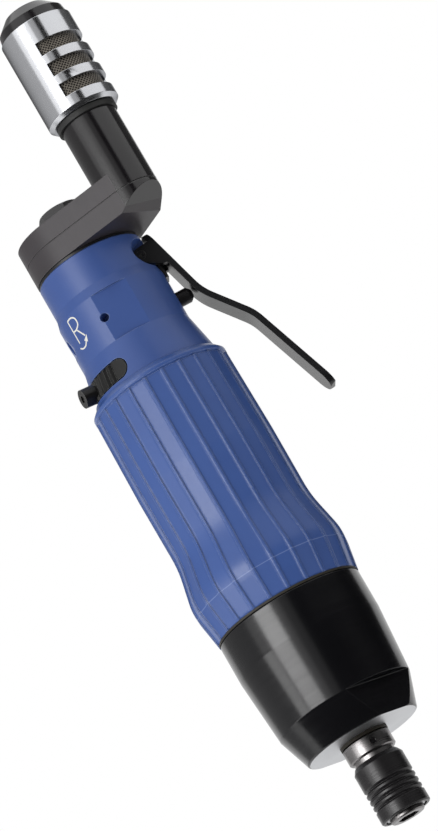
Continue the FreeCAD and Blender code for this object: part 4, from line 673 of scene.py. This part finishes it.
@dataclass
class BitHolder(Assembly):
    """Spindle nose with the quick-change sleeve and its collar."""

    title: str = "bit holder"

    def finishes(self) -> dict[str, Finish | WovenWire]:
        """Finish of each CAD node."""
        return {
            "anvil_shaft": NOSE_STEEL,
            "anvil_collar": NOSE_STEEL,
            "bit_sleeve": BLACK_STEEL,
            "collar_pin": BLACK_STEEL,
            "retaining_ball": BRIGHT_STEEL,
            "sleeve_washer": BRIGHT_STEEL,
            "snap_ring": SPRING_STEEL,
            "sleeve_spring": SPRING_STEEL,
            "shaft_o_ring": SEAL_RUBBER,
            "driving_blades": BRIGHT_STEEL,
            "blade_springs": SPRING_STEEL,
        }

    def build(self) -> None:
        """Gives the sleeve's spring a mesh of its own."""
        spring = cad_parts["sleeve_spring"]
        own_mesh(spring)


@dataclass
class PulseUnit(Assembly):
    """Black front housing with the pulse unit inside it."""

    title: str = "pulse unit"
    face_depth: float = 0.02 * MILLIMETRE

    def finishes(self) -> dict[str, Finish | WovenWire]:
        """Finish of each CAD node."""
        return {
            "pulse_housing": BLACK_GLOSS,
            "nose_bush": BRASS,
            "dust_ring": OLIVE_GASKET,
            "joint_ring": OLIVE_GASKET,
            "pulse_case": BRIGHT_STEEL,
            "pulse_liner": BRIGHT_STEEL,
            "front_liner_plate": BRIGHT_STEEL,
            "rear_liner_plate": BRIGHT_STEEL,
            "case_cover": BRIGHT_STEEL,
            "cover_screws": BRIGHT_STEEL,
            "case_o_ring": SEAL_RUBBER,
        }

    def dress(self) -> None:
        """Gives the nodes their finishes, and leaves the housing's front face bare metal."""
        super().dress()
        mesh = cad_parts["pulse_housing"].data
        mesh.materials.append(FACED_ALUMINIUM.material())
        front = min(vertex.co.z for vertex in mesh.vertices)
        for polygon in mesh.polygons:
            if polygon.center.z < front + self.face_depth:
                polygon.material_index = 1


@dataclass
class AirMotor(Assembly):
    """Vane motor inside the grip."""

    title: str = "air motor"

    def finishes(self) -> dict[str, Finish | WovenWire]:
        """Finish of each CAD node."""
        return {
            "rotor": BRIGHT_STEEL,
            "rotor_vanes": VANE_RESIN,
            "front_inner_race": BRIGHT_STEEL,
            "rear_inner_race": BRIGHT_STEEL,
            "front_outer_race": BRIGHT_STEEL,
            "rear_outer_race": BRIGHT_STEEL,
            "front_end_plate": CAST_IRON,
            "rear_end_plate": CAST_IRON,
            "motor_cylinder": CAST_IRON,
            "cylinder_dowel": BRIGHT_STEEL,
            "motor_clamp_ring": BRIGHT_STEEL,
            "valve_spacer": LEVER_BLACK,
        }


@dataclass
class ValveHead(Assembly):
    """Blue head with its grip, throttle valve and the turning mark."""

    title: str = "valve head"
    ring_radius: float = 18.8 * MILLIMETRE
    paint: float = 0.03 * MILLIMETRE
    stroke: float = 0.50 * MILLIMETRE
    letter_low: float = 179.1 * MILLIMETRE
    letter_high: float = 187.3 * MILLIMETRE
    letter_left: float = -150.0
    letter_right: float = -138.0
    arrow_height: float = 177.4 * MILLIMETRE
    arrow_tail: float = -153.5
    arrow_head: float = -136.0
    arrow_sag: float = 0.9 * MILLIMETRE
    arrow_base_rise: float = 0.7 * MILLIMETRE
    arrow_tip_rise: float = 2.3 * MILLIMETRE
    leg_rise: float = 0.6 * MILLIMETRE

    def finishes(self) -> dict[str, Finish | WovenWire]:
        """Finish of each CAD node."""
        return {
            "handle_body": BLUE_PAINT,
            "grip": BLUE_GRIP,
            "port_plug": BLUE_PAINT,
            "lever_stop": LEVER_BLACK,
            "throttle_bush": BRASS,
            "bush_o_ring": SEAL_RUBBER,
            "throttle_valve": SEAL_RUBBER,
            "push_pin": BLACK_STEEL,
            "valve_spring": SPRING_STEEL,
            "supply_strainer": WovenWire("supply_gauze"),
            "detent_ball": BRIGHT_STEEL,
            "detent_spring": SPRING_STEEL,
        }

    def build(self) -> None:
        """Paints the letter R over a curved arrow, and gives the valve's spring a mesh of its own."""
        high, low = self.letter_high, self.letter_low
        middle = low + (high - low) * 0.50
        left, right = self.letter_left, self.letter_right
        span = right - left
        bowl = [
            (left, high),
            (left + span * 0.55, high),
            (left + span * 0.92, high - (high - middle) * 0.25),
            (left + span * 0.92, high - (high - middle) * 0.75),
            (left + span * 0.50, middle),
            (left, middle),
        ]
        strokes = {
            "mark_letter_stem": ([(left, low), (left, high)], False),
            "mark_letter_bowl": (bowl, True),
            "mark_letter_leg": ([(left + span * 0.45, middle), (right, low + self.leg_rise)], False),
            "mark_arrow_line": (self.arrow_line(), True),
        }
        for name, (path, smooth) in strokes.items():
            self.seat(flat_band(name, path, self.stroke, self.ring_radius, self.paint, smooth))
        self.seat(self.arrow_point())
        low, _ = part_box("valve_spring")
        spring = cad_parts["valve_spring"]
        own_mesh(spring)

    def arrow_line(self) -> list[tuple[float, float]]:
        """Points of the arrow's shaft, sagging between its ends."""
        sag = self.arrow_sag
        span = self.arrow_head - self.arrow_tail
        return [
            (self.arrow_tail, self.arrow_height + sag * 0.5),
            (self.arrow_tail + span * 0.25, self.arrow_height - sag * 0.4),
            (self.arrow_tail + span * 0.55, self.arrow_height - sag * 0.3),
            (self.arrow_head - span * 0.22, self.arrow_height + sag),
        ]

    def arrow_point(self) -> bpy.types.Object:
        """Arrow head at the end of the shaft."""
        radius = self.ring_radius
        span = self.arrow_head - self.arrow_tail
        start = math.radians(self.arrow_head - span * 0.26) * radius
        base = Vector((start, self.arrow_height + self.arrow_base_rise))
        tip = Vector((math.radians(self.arrow_head) * radius, self.arrow_height + self.arrow_tip_rise))
        run = (tip - base).normalized()
        across = Vector((-run.y, run.x)) * self.stroke * 1.6
        narrow = across * 0.05
        return wrapped_sheet(
            "mark_arrow_point",
            [(base + across, base - across), (tip + narrow, tip - narrow)],
            radius,
            self.paint,
        )

    def seat(self, piece: bpy.types.Object) -> None:
        """Dresses a painted mark and seats it on the head.

        Args:
            piece: The mark's mesh.
        """
        piece.data.materials.append(MARK_WHITE.material())
        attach(piece, "housing")
        LOG.info("%s: %s", self.title, piece.name)


@dataclass
class ThrottleLever(Assembly):
    """Throttle lever on its tubular pin."""

    title: str = "throttle lever"

    def finishes(self) -> dict[str, Finish | WovenWire]:
        """Finish of each CAD node."""
        return {"throttle_lever": LEVER_BLACK, "lever_pin": BLACK_STEEL}


@dataclass
class ReverseSlide(Assembly):
    """Reversing slide in its pocket, with knob and valve ring."""

    title: str = "reversing slide"

    def finishes(self) -> dict[str, Finish | WovenWire]:
        """Finish of each CAD node."""
        return {
            "reverse_slider": SLIDE_BLACK,
            "reverse_knob": SLIDE_BLACK,
            "reverse_valve": LEVER_BLACK,
        }


@dataclass
class SwivelInlet(Assembly):
    """Swivelling arm with its riser, inlet bushing and silencer."""

    title: str = "swivel inlet"
    riser_reach: float = 9.6 * MILLIMETRE

    def dress(self) -> None:
        """Gives the nodes their finishes, with the flat arm more satin than its round riser."""
        super().dress()
        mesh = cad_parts["swivel_arm"].data
        mesh.materials.append(SATIN_ANODISED.material())
        middle = Vector(self.axis())
        for polygon in mesh.polygons:
            corners = [mesh.vertices[index].co for index in polygon.vertices]
            reach = max((corner.to_2d() - middle).length for corner in corners)
            if reach > self.riser_reach:
                polygon.material_index = 1

    def axis(self) -> tuple[float, float]:
        """Place of the riser's axis, from the silencer's box."""
        low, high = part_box("silencer_sleeve")
        return (low.x + high.x) / 2, (low.y + high.y) / 2

    def finishes(self) -> dict[str, Finish | WovenWire]:
        """Finish of each CAD node."""
        return {
            "swivel_arm": BLACK_ANODISED,
            "swivel_bolt": BLACK_STEEL,
            "swivel_washer": LEVER_BLACK,
            "inlet_pipe": BRIGHT_STEEL,
            "sleeve_collar": SEAL_RUBBER,
            "inlet_bushing": BLACK_ANODISED,
            "inlet_strainer": WovenWire("inlet_gauze", self.axis(), 4.3 * MILLIMETRE),
            "silencer_sleeve": SILENCER_ALUMINIUM,
            "silencer_mesh": WovenWire("silencer_gauze", self.axis()),
        }


@dataclass
class Studio:
    """White studio: pale floor, soft lamps, white surroundings and the camera."""

    target: tuple[float, float, float] = (0.01129, -0.00159, 0.1395)
    distance: float = 1.406
    azimuth: float = -8.0
    elevation: float = -15.4
    roll: float = 30.2
    focal_pixels: float = 4500.0
    picture_height: float = 831.0
    sensor: float = 36.0
    floor_drop: float = 0.30
    floor_size: float = 6.0
    floor_tone: float = 0.86
    floor_glow: float = 0.35
    surroundings: float = 0.42
    lamps: list[tuple[str, float, float, float, float, float, float]] = field(default_factory=lambda: [
        # name, azimuth and elevation from the target, distance, width and height in metres, watts
        ("key_lamp", -43.0, 7.5, 1.2, 0.6, 0.44, 5.2),
        ("left_lamp", -85.0, -4.0, 1.5, 1.4, 0.55, 6.5),
        ("fill_lamp", 62.0, -4.0, 1.6, 0.9, 0.55, 1.0),
        ("top_lamp", -20.0, 75.0, 1.5, 1.1, 1.1, 4.0),
    ])
    card_distance: float = 1.5
    card_steps: int = 12
    card_lift: float = 0.01
    low_tone: float = 0.03
    cards: list[tuple[str, float, float, float, float, float]] = field(default_factory=lambda: [
        # name, azimuths where the card starts and ends, heights of its foot and top, tone
        ("dark_card_right", -2.0, 123.0, -1.5, 0.58, 0.015),
        ("dark_card_middle", 2.0, 19.0, -1.5, 2.2, 0.01),
        ("grey_card_middle", -16.0, 2.0, -1.5, 1.6, 0.40),
        ("grey_card_left", -142.0, -76.0, -1.5, 0.45, 0.40),
        ("grey_card_high_left", -150.0, -74.0, 0.45, 2.2, 0.40),
        ("grey_card_back_left", -188.0, -150.0, 0.68, 2.2, 0.34),
        ("grey_card_high_right", 92.0, 145.0, 0.58, 1.6, 0.12),
    ])

    def direction(self, azimuth: float, elevation: float) -> Vector:
        """Unit vector from the target towards a place on the sky.

        Args:
            azimuth: Degrees round the tool, 0 at -Y.
            elevation: Degrees above the horizon.

        Returns:
            The vector.
        """
        a, e = math.radians(azimuth), math.radians(elevation)
        return Vector((math.sin(a) * math.cos(e), -math.cos(a) * math.cos(e), math.sin(e)))

    def floor(self) -> None:
        """Pale floor below the tool, lower than the photograph's camera."""
        bpy.ops.mesh.primitive_plane_add(size=self.floor_size, location=(0, 0, -self.floor_drop))
        plane = bpy.context.object
        plane.name = "floor"
        nodes = Nodes("floor_paper")
        shader = nodes.add("ShaderNodeBsdfDiffuse")
        shader.inputs["Color"].default_value = (*[self.floor_tone] * 3, 1)
        white = nodes.add("ShaderNodeEmission")
        white.inputs["Strength"].default_value = self.floor_glow
        lit = nodes.add("ShaderNodeAddShader")
        nodes.link(shader.outputs[0], lit.inputs[0])
        nodes.link(white.outputs[0], lit.inputs[1])
        plane.data.materials.append(nodes.finish(lit))

    def world(self) -> None:
        """White surroundings, softer for the light that they give."""
        world = bpy.data.worlds.new("studio_world")
        bpy.context.scene.world = world
        world.use_nodes = True
        tree = world.node_tree
        tree.nodes.clear()
        seen = tree.nodes.new("ShaderNodeLightPath")
        total = tree.nodes.new("ShaderNodeMath")
        total.operation = "ADD"
        tree.links.new(seen.outputs["Is Camera Ray"], total.inputs[0])
        tree.links.new(seen.outputs["Is Transmission Ray"], total.inputs[1])
        both = tree.nodes.new("ShaderNodeMath")
        both.operation = "ADD"
        both.use_clamp = True
        tree.links.new(total.outputs[0], both.inputs[0])
        tree.links.new(seen.outputs["Is Glossy Ray"], both.inputs[1])
        strength = tree.nodes.new("ShaderNodeMapRange")
        strength.inputs["To Min"].default_value = self.surroundings
        strength.inputs["To Max"].default_value = 1.0
        tree.links.new(both.outputs[0], strength.inputs["Value"])
        background = tree.nodes.new("ShaderNodeBackground")
        background.inputs["Color"].default_value = (1, 1, 1, 1)
        tree.links.new(strength.outputs["Result"], background.inputs["Strength"])
        output = tree.nodes.new("ShaderNodeOutputWorld")
        tree.links.new(background.outputs[0], output.inputs["Surface"])

    def light(self) -> None:
        """Soft rectangular lamps round the tool."""
        for name, azimuth, elevation, distance, width, height, watts in self.lamps:
            lamp = bpy.data.lights.new(name, "AREA")
            lamp.shape = "RECTANGLE"
            lamp.size = width
            lamp.size_y = height
            lamp.energy = watts
            holder = bpy.data.objects.new(name, lamp)
            bpy.context.scene.collection.objects.link(holder)
            outward = self.direction(azimuth, elevation)
            holder.location = Vector(self.target) + outward * distance
            holder.rotation_mode = "QUATERNION"
            holder.rotation_quaternion = outward.to_track_quat("Z", "Y")
            holder.visible_camera = False

    def dark_cards(self) -> None:
        """Dark and grey backdrops beside the camera, which only the gloss of the tool shows."""
        steps = self.card_steps
        for name, start, end, foot, top, tone in self.cards:
            corners = []
            for step in range(steps + 1):
                angle = math.radians(start + (end - start) * step / steps)
                x = self.target[0] + math.sin(angle) * self.card_distance
                y = self.target[1] - math.cos(angle) * self.card_distance
                corners += [(x, y, foot), (x, y, top)]
            faces = [(step * 2, step * 2 + 2, step * 2 + 3, step * 2 + 1) for step in range(steps)]
            mesh = bpy.data.meshes.new(name)
            mesh.from_pydata(corners, [], faces)
            self.unseen(name, mesh, tone)

    def unseen(self, name: str, mesh: bpy.types.Mesh, tone: float) -> None:
        """Sets up a card that only glossy surfaces reflect.

        Args:
            name: The card's name.
            mesh: Its mesh.
            tone: Its grey.
        """
        card = bpy.data.objects.new(name, mesh)
        bpy.context.scene.collection.objects.link(card)
        nodes = Nodes(name)
        shader = nodes.add("ShaderNodeEmission")
        shader.inputs["Color"].default_value = (tone, tone, tone, 1)
        mesh.materials.append(nodes.finish(shader))
        card.visible_camera = False
        card.visible_diffuse = False
        card.visible_shadow = False
        card.visible_transmission = False

    def low_card(self) -> None:
        """Dark card lying in front of the tool, which only its gloss shows."""
        reach = self.floor_size / 2
        level = -self.floor_drop + self.card_lift
        corners = [(-reach, -reach, level), (reach, -reach, level), (reach, 0, level), (-reach, 0, level)]
        mesh = bpy.data.meshes.new("dark_card_low")
        mesh.from_pydata(corners, [], [(0, 1, 2, 3)])
        self.unseen("dark_card_low", mesh, self.low_tone)

    def camera(self) -> None:
        """Camera at the photograph's angle, rolled so that the tool leans as it does there."""
        data = bpy.data.cameras.new("photo_camera")
        data.sensor_width = self.sensor
        data.lens = self.focal_pixels / self.picture_height * self.sensor
        data.clip_start = 0.05
        camera = bpy.data.objects.new("photo_camera", data)
        bpy.context.scene.collection.objects.link(camera)
        back = self.direction(self.azimuth, self.elevation)
        camera.location = Vector(self.target) + back * self.distance
        upright = back.to_track_quat("Z", "Y").to_matrix().to_4x4()
        rolled = upright @ Matrix.Rotation(math.radians(-self.roll), 4, "Z")
        camera.rotation_mode = "QUATERNION"
        camera.rotation_quaternion = rolled.to_quaternion()
        bpy.context.scene.camera = camera

    def build(self) -> None:
        """Sets up the whole studio."""
        bpy.context.scene.view_settings.view_transform = "Standard"
        self.floor()
        self.world()
        self.light()
        self.dark_cards()
        self.low_card()
        self.camera()


def main() -> None:
    """Builds and dresses every sub-assembly, then sets up the studio."""
    logging.basicConfig(level=logging.INFO, format="%(message)s")
    for assembly in (
        BitHolder(),
        PulseUnit(),
        AirMotor(),
        ValveHead(),
        ThrottleLever(),
        ReverseSlide(),
        SwivelInlet(),
    ):
        assembly.build()
        assembly.dress()
        LOG.info("%s done", assembly.title)
    Studio().build()


if __name__ == "__main__":
    main()
